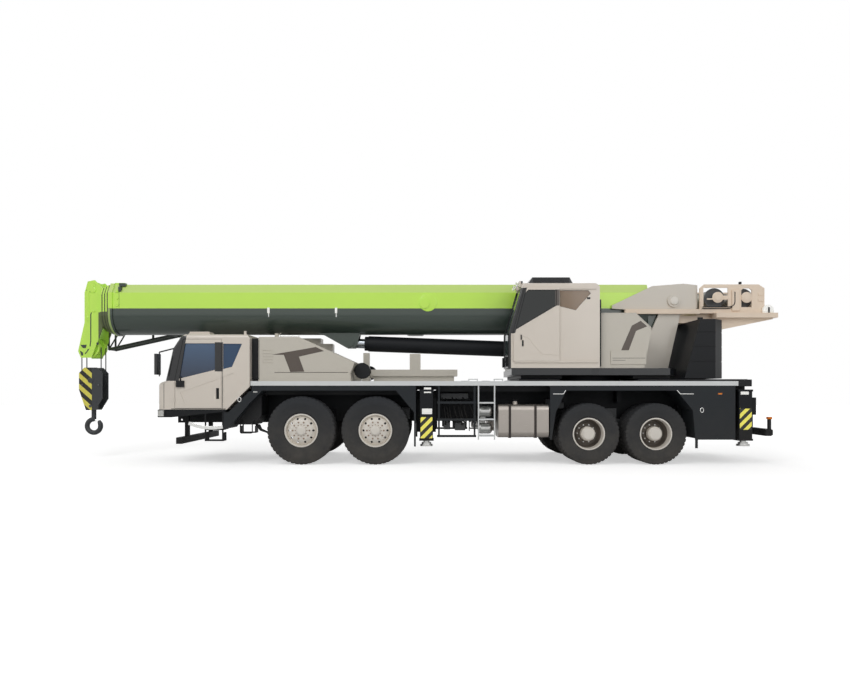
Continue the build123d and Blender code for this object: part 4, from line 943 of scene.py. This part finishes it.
front_axles = {"first": -2.40, "second": -0.92}
rear_axles = {"third": 3.34, "fourth": 4.68}
front_radius = 0.682
rear_radius = 0.613
front_wheels = {f"{axle}_{hand}": (x, hands[hand]) for axle, x in front_axles.items() for hand in hands}
rear_wheels = {f"{axle}_{hand}": (x, hands[hand]) for axle, x in rear_axles.items() for hand in hands}
for name, (x, side) in front_wheels.items():
    parts = [make_tyre(x, middle=1.197, side=side, width=0.385, radius=front_radius, bead=0.318, lugs=46)]
    tyre = finish_piece(f"tread_{name}", parts, f"wheel_{name}", tyre_rubber, smooth=True)
    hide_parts(f"tyre_{name}")
for name, (x, side) in rear_wheels.items():
    parts = []
    for middle in (1.222, 0.872):
        parts.append(make_tyre(x, middle, side, width=0.315, radius=rear_radius, bead=0.305, lugs=44))
    tyre = finish_piece(f"treads_{name}", parts, f"wheels_{name}", tyre_rubber, smooth=True)
    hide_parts(f"tyres_{name}")

# %% [markdown]
# ## Wheel nuts and hub caps
# Each rim is held by ten nuts on a circle, and a front wheel has a hub cap with a ring
# of small bolts. A nut is six points turned about its own axis, and the whole ring is
# one small piece.

# %% Nuts
def nut_ring(x, z, y, side, circle, count, size, height):
    """Hexagons of the given size at count even angles on a circle, each with a bolt's end."""
    face = height + 0.004
    end = height + 0.014
    profile = [(0, size), (height, size), (face, size * 0.8), (face, size * 0.55), (end, size * 0.5)]
    parts = []
    for turn in np.arange(count) * 2 * np.pi / count:
        centre = (x + circle * np.cos(turn), side * y, z + circle * np.sin(turn))
        parts.append(turned(profile, centre, steps=6, sign=side))
    return parts


for name, (x, side) in front_wheels.items():
    nuts = nut_ring(x, front_radius, 1.357, side, circle=0.168, count=10, size=0.017, height=0.016)
    finish_piece(f"nuts_{name}", nuts, f"wheel_{name}", nut_brown)
for name, (x, side) in rear_wheels.items():
    nuts = nut_ring(x, rear_radius, 1.102, side, circle=0.178, count=10, size=0.018, height=0.016)
    finish_piece(f"nuts_{name}", nuts, f"wheels_{name}", bare_steel)

# %% Hub caps
cap_section = [
    (0.0, 0.132), (0.006, 0.130), (0.010, 0.104), (0.030, 0.100), (0.044, 0.086), (0.050, 0.060),
    (0.050, 0.01),
]
for name, (x, side) in front_wheels.items():
    cap = turned(cap_section, (x, side * 1.3575, front_radius), steps=40, sign=side)
    bolts = nut_ring(x, front_radius, 1.3635, side, circle=0.117, count=12, size=0.010, height=0.010)
    finish_piece(f"hub_cap_{name}", [cap], f"wheel_{name}", rim_paint, smooth=True)
    finish_piece(f"hub_bolts_{name}", bolts, f"wheel_{name}", nut_brown)

# %% [markdown]
# ## Trim of the driver's cab
# A truck cab gets its character from small black and bright parts: the seals between
# its panels, the handles, the low mirror foot at the door's front corner and the lamps.
# They sit on the frame's flat sides, so most are bevelled blocks from one table, and
# each is made once more on the other side of the crane.

# %% Seals and corner lamps
seals = {
    "behind the cab": ((-3.416, -3.268), (1.05, 1.22), (1.70, 2.53)),
    "door front": ((-5.128, -5.120), (1.384, 1.3925), (1.12, 1.62)),
    "door rear": ((-3.963, -3.955), (1.384, 1.3925), (1.12, 1.86)),
    "door foot": ((-4.98, -3.90), (1.384, 1.3925), (1.106, 1.120)),
    "roof edge": ((-4.825, -3.413), (1.372, 1.384), (2.527, 2.534)),
}
corner_lamps = {
    "bumper corner": ((-5.249, -5.13), (1.36, 1.394), (0.965, 1.085)),
    "side of the fender": ((-3.352, -3.262), (1.386, 1.398), (1.438, 1.462)),
}
lamp_frames = {
    "above": ((-5.256, -5.10), (1.30, 1.388), (1.085, 1.10)),
    "below": ((-5.256, -5.10), (1.30, 1.388), (0.950, 0.963)),
    "behind": ((-5.129, -5.10), (1.30, 1.390), (0.950, 1.10)),
}
block_set("cab_seals", seals, "carrier", trim_rubber, bevel=0.001)
block_set("corner_lamps", corner_lamps, "carrier", lamp_glass, bevel=0.006)
block_set("lamp_frames", lamp_frames, "carrier", black_trim)

# %% Trim that opens with the doors
door_trim = {
    "handle": ((-4.068, -4.052), (1.374, 1.388), (1.33, 1.51)),
    "handle recess": ((-4.088, -4.032), (1.366, 1.373), (1.312, 1.528)),
    "handle head": ((-4.085, -4.035), (1.368, 1.388), (1.505, 1.522)),
    "handle foot": ((-4.085, -4.035), (1.368, 1.388), (1.318, 1.335)),
    "mirror foot": ((-4.876, -4.716), (1.391, 1.425), (1.545, 1.675)),
    "mirror stem": ((-4.81, -4.78), (1.386, 1.396), (1.67, 1.76)),
}
for hand, side in hands.items():
    body = f"cab_door_{hand}"
    block_set(f"door_trim_{hand}", door_trim, body, black_trim, bevel=0.005, sides=(side,))

# %% [markdown]
# ## Wipers
# Two wipers lie on the windscreen, each a pivot, an arm and a blade. A helper turns a
# place across and a share of the height into a point just in front of the glass, so
# the rods follow the screen's slope.

# %% Wipers
def on_screen(y, share):
    """A point on the windscreen: share 0 at its foot, 1 at its head, 14 mm in front of it."""
    return (-5.086 - 0.014 + 0.166 * share, y, 1.735 + 0.72 * share)


wipers = []
for pivot, tip in ((0.95, 0.25), (0.0, -0.75)):
    arm = [on_screen(pivot, 0.0), on_screen((pivot + tip) / 2, 0.18), on_screen(tip, 0.3)]
    blade = [on_screen(tip + 0.42, 0.26), on_screen(tip, 0.3), on_screen(tip - 0.42, 0.34)]
    hub = [on_screen(pivot, -0.02), on_screen(pivot, 0.03)]
    wipers += [tube(arm, 0.009, 8), tube(blade, 0.011, 8), tube(hub, 0.02, 10)]
finish_piece("wipers", wipers, "carrier", trim_rubber)

# %% [markdown]
# ## Steps and guards below the cab
# A bright strap bends from the bumper back to the step, and a thin loop hangs from the
# fender for the foot. The strap is a flat bar that follows a parabola, the loop a rod
# along a rounded path.

# %% Strap and loop
strap_x = np.linspace(-4.64, -3.96, 13)
strap = np.stack([strap_x, 0.735 + 0.095 * ((strap_x + 4.18) / 0.46) ** 2], axis=-1)
straps = [ribbon(strap, 0.034, span(side, (1.355, 1.375))) for side in SIDES]
loop_front = [(-3.63, -1.10, 0.90), (-3.63, -1.30, 0.80), (-3.63, -1.30, 0.628)]
loop_rear = [(-3.39, -1.30, 0.628), (-3.39, -1.30, 0.80), (-3.39, -1.10, 0.90)]
loop = rounded_path(loop_front + loop_rear, 0.03)
loops = [tube(path, 0.011) for path in (loop, mirrored(loop))]
finish_piece("step_straps", straps, "carrier", silver_trim, bevel=0.003)
finish_piece("step_loops", loops, "carrier", black_trim, smooth=True)

# %% [markdown]
# ## Linings under the deck
# On the real crane cross members, pipes and boxes fill the space behind the fenders, so
# no light comes through. Thin dark plates stand for them, and a box stands behind the
# steps.

# %% Dark linings
linings = {
    "front axles": ((-3.34, -0.16), (0.98, 1.002), (1.390, 1.582)),
    "front outriggers": ((-0.16, 0.36), (0.98, 1.01), (1.494, 1.582)),
    "rear outriggers": ((6.20, 6.56), (1.10, 1.13), (1.494, 1.582)),
    "tanks": ((0.36, 2.72), (0.98, 1.01), (1.46, 1.582)),
}
step_box = [(-3.96, 0.84), (-3.86, 0.79), (-3.36, 0.79), (-3.24, 0.98), (-3.24, 1.48), (-3.50, 1.48)]
foot_bracket = [(-3.40, 0.79), (-3.30, 0.66), (-3.12, 0.60), (-3.10, 0.625), (-3.26, 0.70), (-3.30, 0.79)]
boxes = []
for side in SIDES:
    boxes += [slab(step_box, *span(side, (0.62, 1.16))), slab(foot_bracket, *span(side, (1.02, 1.06)))]
block_set("deck_linings", linings, "carrier", black_trim, bevel=0.0)
finish_piece("step_boxes", boxes, "carrier", black_trim, bevel=0.004)

# %% [markdown]
# ## Markings and fittings of the engine hood
# The hood carries one dark brown angular flash on each side, a plain painted shape with
# no lettering. It's a sheet two millimetres thick on the hood's flat side. Two rails
# lie on top, and a round air filter stands at each side behind the hood.

# %% Hood
flash = [
    (-2.118, 2.352), (-1.955, 2.272), (-2.459, 2.159), (-2.351, 1.859), (-2.630, 1.851), (-2.762, 2.195),
    (-2.999, 2.199),
]
hood_lines = {
    "flap's lower edge": ((-2.95, -1.48), (1.2835, 1.289), (1.838, 1.846)),
    "front edge": ((-3.262, -3.254), (1.282, 1.289), (1.70, 2.50)),
}
filter_profile = [(0.0, 0.16), (0.25, 0.165), (0.28, 0.15), (0.28, 0.05)]
flashes = [slab(flash, *span(side, (1.2846, 1.2870))) for side in SIDES]
rail_line = [(-2.95, 2.55), (-2.95, 2.62), (-2.55, 2.62), (-2.55, 2.55)]
rails = [tube(rounded_path([(x, side * 0.75, z) for x, z in rail_line], 0.03), 0.01) for side in SIDES]
filters = [turned(filter_profile, (-1.222, side * 0.72, 1.885), steps=36, sign=side) for side in SIDES]
finish_piece("hood_flash", flashes, "carrier", brown_mark)
block_set("hood_seams", hood_lines, "carrier", black_trim, bevel=0.002)
finish_piece("hood_rails", rails, "carrier", silver_trim, smooth=True)
finish_piece("hood_drums", filters, "carrier", black_trim, smooth=True)

# %% [markdown]
# ## Plates
# Each outrigger column has a plate with slanted yellow and black stripes, which warns
# anyone near it. The plate is a thin sheet screwed to the column, so it goes out with
# the beam. Above it are small plates, left blank. Two dark plates lie on the middle of
# the deck, in front of the turntable's ring and behind it. They are painted shade: dark
# sheets where the deck lies in shadow under the superstructure.

# %% Plates on the outriggers
half_width = 0.118
tall = 0.42
plate_y = (1.3925, 1.3975)
columns = {"front": (0.100, 0.530), "rear": (6.450, 0.700)}
blank_plates = {
    "front": {
        "upper": ((0.05, 0.19), (1.3925, 1.3955), (1.43, 1.54)),
        "lower": ((0.01, 0.21), (1.3925, 1.3955), (1.01, 1.12)),
    },
    "rear": {"upper": ((6.35, 6.51), (1.3925, 1.3955), (1.40, 1.465))},
}
for end, (x, low) in columns.items():
    for hand, side in hands.items():
        plate = brick((x - half_width, x + half_width), span(side, plate_y), (low, low + tall))
        body = f"outrigger_beam_{end}_{hand}"
        finish_piece(f"warning_plate_{end}_{hand}", [plate], body, plate_stripes, bevel=0.002)
for end, rows in blank_plates.items():
    for hand, side in hands.items():
        body = f"outrigger_beam_{end}_{hand}"
        name = f"blank_plate_{end}_{hand}"
        block_set(name, rows, body, white_plate, bevel=0.001, sides=(side,))

# %% Painted shade on the middle of the deck
deck_shade_plates = {
    "in front of the ring": ((1.96, 2.78), (0.002, 1.26), (1.662, 1.708)),
    "behind the ring": ((4.36, 6.55), (0.002, 1.26), (1.662, 1.708)),
}
block_set("deck_shade_plates", deck_shade_plates, "carrier", black_trim, bevel=0.002)

# %% [markdown]
# ## Hoses and valves
# Behind the guard tubes hang the hoses and valve blocks of the outriggers, nearly
# black and a little untidy. The paths are drawn with a fixed random seed.

# %% Hoses
random = np.random.default_rng(17)
hoses = []
for number in range(9):
    start = np.array([0.42 + 0.075 * number, -0.56, 1.36 - 0.02 * (number % 3)])
    end = np.array([0.50 + 0.09 * number, -0.50, 0.72 + 0.05 * (number % 4)])
    sag = np.array([random.uniform(-0.05, 0.05), -0.28 - 0.06 * random.random(), -0.10])
    t = np.linspace(0, 1, 14)[:, None]
    path = (1 - t) * start + t * end + 4 * t * (1 - t) * sag
    hoses += [tube(path, 0.014, 8), tube(mirrored(path), 0.014, 8)]
finish_piece("outrigger_hoses", hoses, "carrier", trim_rubber, smooth=True)
valves = {
    "upper bank": ((0.40, 0.98), (0.455, 0.60), (1.30, 1.42)),
    "lower front": ((0.46, 0.60), (0.455, 0.66), (0.66, 0.86)),
    "lower rear": ((0.70, 0.92), (0.455, 0.64), (0.64, 0.80)),
    "second axle": ((-0.42, -0.24), (0.455, 0.70), (0.88, 1.12)),
    "third axle": ((2.62, 3.0), (0.455, 0.60), (1.10, 1.30)),
    "fourth axle": ((5.44, 5.80), (0.455, 0.80), (0.95, 1.25)),
}
block_set("valve_blocks", valves, "carrier", cast_steel, bevel=0.008)

# %% [markdown]
# ## Lamps, rings and boxes of the carrier
# Small things along the carrier's side: amber lamps, boxes at the rear, pale trims at
# the corners of the rear wheel arches, rings for lashing the crane down on a ship or a
# low loader, and the tanks' filler caps.

# %% Boxes, lamps and corner trims
rear_boxes = {
    "over the outrigger": ((6.301, 6.575), (1.16, 1.395), (1.562, 1.700)),
    "lamp post": ((7.03, 7.09), (1.09, 1.15), (0.69, 0.90)),
}
marker_lamps = {
    "on the post": ((7.02, 7.10), (1.08, 1.16), (0.90, 0.945)),
    "on the rear skirt": ((5.90, 5.98), (1.388, 1.398), (1.40, 1.43)),
    "on the deck's rim": ((1.20, 1.28), (1.397, 1.3995), (1.60, 1.63)),
}
arch_corners = [
    [(2.620, 1.412), (2.828, 1.412), (2.868, 1.484)],
    [(5.086, 1.486), (5.148, 1.412), (5.420, 1.412)],
]
arch_trims = [ribbon(line, 0.006, span(side, (1.389, 1.395))) for side in SIDES for line in arch_corners]
block_set("rear_boxes", rear_boxes, "carrier", black_trim, bevel=0.008)
block_set("marker_lamps", marker_lamps, "carrier", amber_lens, bevel=0.003)
finish_piece("arch_trims", arch_trims, "carrier", silver_trim, bevel=0.001)


# %% Lashing rings and filler caps
def lashing_ring(side, x, z):
    """A steel ring, taller than wide, flat on the fender."""
    turn = np.linspace(0, 2 * np.pi, 25)
    path = np.stack([x + 0.032 * np.cos(turn), np.full(25, side * 1.397), z + 0.045 * np.sin(turn)], axis=-1)
    return tube(path, 0.007, 8)


ring_places = [(5.577, 1.089), (-3.62, 1.30)]
cap_profile = [(0, 0.062), (0.02, 0.066), (0.03, 0.066), (0.034, 0.05), (0.034, 0.02)]
lashing_rings = [lashing_ring(side, x, z) for side in SIDES for x, z in ring_places]
filler_caps = [turned(cap_profile, (1.90, side * 1.10, 1.260), axis="z", steps=28) for side in SIDES]
finish_piece("lashing_rings", lashing_rings, "carrier", silver_trim, smooth=True)
finish_piece("filler_caps", filler_caps, "carrier", black_trim, smooth=True)

# %% [markdown]
# ## Trim of the operator's cab
# The sliding door has a dark seal round its pane and a slim handle. Pressed lines run
# over the lower panel, lit along their upper edge. They're thin rounded ridges.

# %% The sliding door
def ridge(path, y, radius=0.006):
    """A rounded ridge on a side plane: a rod along (x, z) points at distance y."""
    return tube(rounded_path([(x, y, z) for x, z in path], 0.05), radius, 8)


def frame_line(outline, y, radius):
    """A closed seal along an outline's edge on a side plane."""
    return tube([(x, y, z) for x, z in outline + outline[:1]], radius, 6)


door_plane = -1.391
door_window = [(1.880, 2.700), (2.060, 3.400), (2.120, 3.480), (2.690, 3.480), (2.690, 3.180)]
quarter = [(2.760, 3.160), (2.760, 3.480), (3.330, 3.480), (3.380, 3.420), (3.180, 3.200), (3.080, 3.080)]
long_crease = [(2.108, 2.545), (2.396, 2.203), (2.73, 2.187)]
short_crease = [(2.108, 2.545), (2.02, 2.560)]
creases = [ridge(long_crease, door_plane), ridge(short_crease, door_plane)]
handle = {
    "grip": ((1.975, 1.997), (1.366, 1.390), (2.492, 2.588)),
    "lock": ((2.000, 2.030), (1.390, 1.402), (2.36, 2.48)),
}
left = (-1,)
quarter_seal = frame_line(quarter, y=-1.3465, radius=0.0035)
door_seal = frame_line(door_window, y=-1.3905, radius=0.006)
finish_piece("door_creases", creases, "operator_door", beige_paint, smooth=True)
finish_piece("quarter_seal", [quarter_seal], "superstructure", trim_rubber)
finish_piece("door_seal", [door_seal], "operator_door", trim_rubber)
block_set("operator_handle", handle, "operator_door", black_trim, bevel=0.003, sides=left)

# %% Lamps, wiper and hand rail
cab_fittings = {
    "window catch": ((3.300, 3.372), (1.340, 1.3505), (3.300, 3.345)),
    "door stop": ((3.566, 3.596), (1.20, 1.26), (2.90, 3.05)),
    "outer front buffer": ((1.69, 1.735), (1.18, 1.26), (1.96, 2.16)),
    "inner front buffer": ((1.69, 1.735), (0.66, 0.74), (1.96, 2.16)),
}
lamp_profile = [(0.0, 0.02), (-0.045, 0.052), (-0.06, 0.055), (-0.062, 0.05), (-0.058, 0.02)]
work_lamps = [turned(lamp_profile, (1.962, y, 3.62), axis="x", steps=24) for y in (-1.18, -0.73)]
rail = [(1.735, -1.33, 2.62), (1.66, -1.36, 2.58), (1.66, -1.36, 2.05), (1.735, -1.33, 2.0)]
wiper = [(1.735, -0.95, 2.66), (1.79, -1.02, 2.90), (1.86, -1.10, 3.12)]
rods = [tube(rounded_path(rail, 0.04), 0.012), tube(wiper, 0.01)]
block_set("operator_fittings", cab_fittings, "superstructure", black_trim, sides=left)
finish_piece("work_lamps", work_lamps, "superstructure", lamp_glass, smooth=True)
finish_piece("operator_rail", rods, "superstructure", black_trim, smooth=True)

# %% [markdown]
# ## Turntable skirt, roof unit and side covers
# A dark skirt closes the gap between the turntable's frame and the deck. The roof unit
# gets the slats of its grille, and the left cover repeats the flash of the hood. The
# boom's pivot shows as a pale round cap on each web.

# %% Skirt and slats
skirts = {
    "front": ((2.02, 2.86), (0.002, 1.10), (1.724, 1.80)),
    "rear": ((4.30, 5.05), (0.002, 1.10), (1.724, 1.80)),
}
slats = []
for z in np.linspace(3.655, 3.745, 5):
    slats.append(brick((2.24 + (z - 3.629) * 0.1, 2.98), (-1.204, -1.1985), (z - 0.006, z + 0.006)))
block_set("turntable_skirt", skirts, "superstructure", black_trim, bevel=0.003)
finish_piece("roof_unit_slats", slats, "superstructure", black_trim)

# %% Cover flash, seams and pivot caps
cover_flash = [
    (4.021, 2.291), (4.174, 2.291), (4.320, 2.680), (4.545, 2.772), (4.415, 2.885), (4.235, 2.785),
]
cover_lines = {
    "long lower line": ((3.84, 4.50), (1.2515, 1.2545), (2.128, 2.134)),
    "short lower line": ((3.84, 4.10), (1.2515, 1.2545), (2.085, 2.091)),
    "gap behind the cab": ((3.566, 3.592), (1.10, 1.335), (1.96, 3.30)),
}
pivot_profile = [(0.0, 0.098), (0.012, 0.096), (0.030, 0.080), (0.036, 0.050), (0.037, 0.02)]
pivot_caps = [turned(pivot_profile, (5.35, side * 0.5395, 3.38), steps=40, sign=side) for side in SIDES]
flash_piece = [slab(cover_flash, -1.2322, -1.2298)]
finish_piece("cover_flash", flash_piece, "superstructure", brown_mark)
block_set("cover_seams", cover_lines, "superstructure", trim_rubber, bevel=0.001, sides=left)
finish_piece("pivot_caps", pivot_caps, "superstructure", rim_paint, smooth=True)

# %% [markdown]
# ## Ropes on the drums
# Each drum is wound with steel rope. Seen from outside, the winding is a row of round
# ridges, so it's one profile of small arcs turned about the drum's axis. It turns
# with its drum.

# %% Rope windings
drum_z = 3.445
drums = {"main": (6.25, 0.176), "auxiliary": (6.86, 0.166)}


def winding(x, drum, rope, half):
    """Profile radius = drum + 2 * rope * |sin(pi * d / (2 * rope))|, d counted from one end."""
    turns = int(2 * half / (2 * rope))
    across = np.linspace(-turns * rope, turns * rope, turns * 6 + 1)
    radius = drum + rope * 2 * np.abs(np.sin(np.pi * (across + turns * rope) / (2 * rope)))
    end = drum - 0.004
    profile = [(across[0] - 0.001, end), *zip(across, radius), (across[-1] + 0.001, end)]
    return turned(profile, (x, 0, drum_z), steps=56)


for name, (x, radius) in drums.items():
    rope = [winding(x, radius, 0.010, 0.396)]
    finish_piece(f"rope_{name}", rope, f"winch_drum_{name}", rope_steel, smooth=True)

# %% [markdown]
# ## Fittings of the winch frame
# Around the drums are their bearings with a ring of bolts, thin pipes that follow the
# frame, the posts and the motor's bracket, and round lamps at the platform's end.

# %% Bearings and pipes
bearing = [(0.0, 0.115), (0.018, 0.115), (0.020, 0.10), (0.034, 0.06), (0.035, 0.01)]
bolt = [(0.0, 0.011), (0.010, 0.011), (0.011, 0.004)]
bolt_circle = 0.088
bearings = []
for side in SIDES:
    for x, _ in drums.values():
        bearings.append(turned(bearing, (x, side * 0.5895, drum_z), steps=32, sign=side))
        for turn in np.arange(8) * np.pi / 4:
            spot = (x + bolt_circle * np.cos(turn), side * 0.607, drum_z + bolt_circle * np.sin(turn))
            bearings.append(turned(bolt, spot, steps=6, sign=side))
pipes = []
for side in SIDES:
    for rise, out in ((0.0, 0.612), (0.03, 0.626)):
        line = [(5.92, 3.21 + rise), (6.52, 3.21 + rise), (6.60, 3.30), (6.60, 3.56)]
        pipes.append(tube(rounded_path([(x, side * out, z) for x, z in line], 0.06), 0.009, 8))
finish_piece("winch_bearings", bearings, "superstructure", winch_paint)
finish_piece("winch_lines", pipes, "superstructure", black_trim, smooth=True)

# %% Posts and lamps
frame_posts = {
    "middle post": ((6.545, 6.70), (0.590, 0.622), (3.16, 3.60)),
    "front edge": ((5.872, 5.896), (0.590, 0.600), (3.16, 3.66)),
    "motor bracket": ((6.02, 6.44), (0.590, 0.606), (3.395, 3.425)),
    "lower rear rib": ((7.10, 7.22), (0.590, 0.602), (3.36, 3.42)),
    "upper rear rib": ((7.10, 7.22), (0.590, 0.602), (3.48, 3.54)),
}
small_lamps = {
    "on the post": ((6.70, 6.75), (0.56, 0.61), (3.725, 3.775)),
    "on the platform": ((7.28, 7.31), (0.655, 0.675), (3.10, 3.23)),
}
round_lamps = []
for side in SIDES:
    for size, depth, y in ((0.118, 0.050, 0.600), (0.098, 0.012, 0.648)):
        profile = [(0.0, size), (depth * 0.8, size), (depth, size * 0.9), (depth, 0.01)]
        round_lamps.append(turned(profile, (7.295, side * y, 3.165), steps=36, sign=side))
block_set("winch_posts", frame_posts, "superstructure", winch_paint, bevel=0.012)
finish_piece("platform_lamps", round_lamps, "superstructure", white_plate, smooth=True)
block_set("winch_lamps", small_lamps, "superstructure", black_trim, bevel=0.006)

# %% [markdown]
# ## The boom's dress
# Along the outer section run weld seams and narrow cable clips. A raised strip lies on
# its top near the front, and round bosses sit where the sliding pads are bolted. All
# ride on the boom, so they luff and telescope with it.

# %% Bands around the boom
def boom_outline(out):
    """The boom's section as (y, z), moved outward by out: flat top, shoulders, round belly."""
    half, top, bottom, shoulder = 0.420 + out, 3.760 + out, 2.700 - out, 0.300 + out * 0.5
    turn = np.linspace(0, np.pi, 25)
    belly = [(half * math.cos(t), bottom + half - half * math.sin(t)) for t in turn]
    return [(-half, 3.570), (-shoulder, top), (shoulder, top), (half, 3.570), *belly]


def boom_band(x, out):
    """A thin closed ring about the boom between two stations."""
    outer, inner = boom_outline(out), boom_outline(-0.001)
    stations = ((x[0], inner), (x[0], outer), (x[1], outer), (x[1], inner), (x[0], inner))
    grid = np.array([[(station, y, z) for y, z in loop] for station, loop in stations])
    return grid, grid_faces(5, grid.shape[1])


seams = [boom_band((x, x + 0.02), 0.002) for x in (-3.33, -0.56, 2.6)]
clips = []
for x in (-3.275, -1.830):
    for side in SIDES:
        clips.append(brick((x - 0.025, x + 0.025), span(side, (0.419, 0.436)), (3.13, 3.25)))
        clips.append(brick((x - 0.006, x + 0.012), span(side, (0.415, 0.430)), (3.05, 3.14)))
finish_piece("boom_seams", seams, "boom", boom_paint)
finish_piece("boom_clips", clips, "boom", white_plate, bevel=0.002)

# %% Strip and bosses
strip = [
    brick((-6.62, -5.34), (-0.16, 0.16), (3.759, 3.782)),
    brick((-6.62, -6.40), (-0.30, -0.18), (3.759, 3.80)),
]
bosses = {
    "over the lift cylinder": (0.134, 3.360, 0.19),
    "upper pad bolt": (-6.515, 3.60, 0.03),
    "middle pad bolt": (-6.515, 3.45, 0.03),
    "lower pad bolt": (-6.515, 3.30, 0.03),
}
boss_parts = discs(bosses, y=0.4195, thick=0.010, chamfer=0.006, face=0.85, steps=32)
finish_piece("boom_strip", strip, "boom", lime_paint, bevel=0.004)
finish_piece("boom_bosses", boss_parts, "boom", lime_paint, smooth=True)

# %% [markdown]
# ## The boom head
# The head is welded from thick plates. Pins hold the sheaves, a raised rib runs along
# its front edge, and dark openings and a long slit show where the plates are cut out.
# The openings and the slit are painted shade: dark sheets, as thin as the shadow gap that they stand for.

# %% Pins and ribs
head_pins = {
    "top sheave": (-7.12, 3.66, 0.07),
    "upper bolt": (-7.10, 3.20, 0.03),
    "lower bolt": (-7.24, 3.05, 0.03),
}
pin_parts = discs(head_pins, y=0.2445, thick=0.012, chamfer=0.004, face=0.8, steps=28)
rib = [
    (-7.06, 3.80), (-7.20, 3.78), (-7.26, 3.60), (-7.26, 2.98), (-7.20, 2.98), (-7.20, 3.58), (-7.15, 3.72),
    (-7.06, 3.74),
]
ribs = [slab(rib, *span(side, (0.2445, 0.252))) for side in SIDES]
finish_piece("head_pins", pin_parts, "boom_head", lime_paint, smooth=True)
finish_piece("head_ribs", ribs, "boom_head", lime_paint, bevel=0.003)

# %% Slit, openings and stops
slit = [(-7.150, 3.170), (-7.165, 3.120), (-7.165, 2.560), (-7.180, 2.440), (-7.240, 2.330), (-7.290, 2.270)]
openings = {
    "top": [(-7.262, 3.655), (-7.165, 3.685), (-7.155, 3.605), (-7.240, 3.610)],
    "foot": [(-7.390, 2.465), (-7.255, 2.470), (-7.270, 2.400), (-7.330, 2.395)],
    "tip": [(-7.400, 2.345), (-7.330, 2.300), (-7.330, 2.235), (-7.370, 2.235)],
    "rear": [(-7.040, 2.520), (-6.995, 2.520), (-6.995, 2.470), (-7.040, 2.470)],
}
head_sheets = []
for side in SIDES:
    y = span(side, (0.2440, 0.2475))
    head_sheets += [ribbon(slit, 0.011, y), *[slab(outline, *y) for outline in openings.values()]]
stops = {
    "on top": ((-6.50, -6.36), (0.30, 0.36), (3.715, 3.785)),
    "on the shoulder": ((-6.49, -6.43), (0.36, 0.425), (3.60, 3.70)),
    "side line": ((-6.475, -6.468), (0.415, 0.4225), (3.25, 3.60)),
}
finish_piece("head_openings", head_sheets, "boom_head", dark_boom_paint)
block_set("boom_stops", stops, "boom", dark_boom_paint, bevel=0.002)

# %% [markdown]
# ## The hook block
# Each cheek is held by a large pin in the middle and three bolts, and a sprung latch
# closes the hook's mouth. The block hangs level, so all of it rides on the hook's body.

# %% Bolts and latch
hook_bolts = {
    "sheave pin": (-7.22, 1.70, 0.055), "front bolt": (-7.40, 1.60, 0.02), "rear bolt": (-7.04, 1.60, 0.02),
    "lower bolt": (-7.22, 1.14, 0.03),
}
bolt_parts = discs(hook_bolts, y=0.1515, thick=0.014, chamfer=0.004, face=0.7, steps=20)
latch = rounded_path([(-7.200, 0.0, 0.815), (-7.140, 0.0, 0.795), (-7.105, 0.0, 0.750)], 0.03)
finish_piece("hook_bolts", bolt_parts, "hook_block", cast_steel, smooth=True)
finish_piece("hook_latch", [tube(latch, 0.012, 8)], "hook_block", bare_steel, smooth=True)
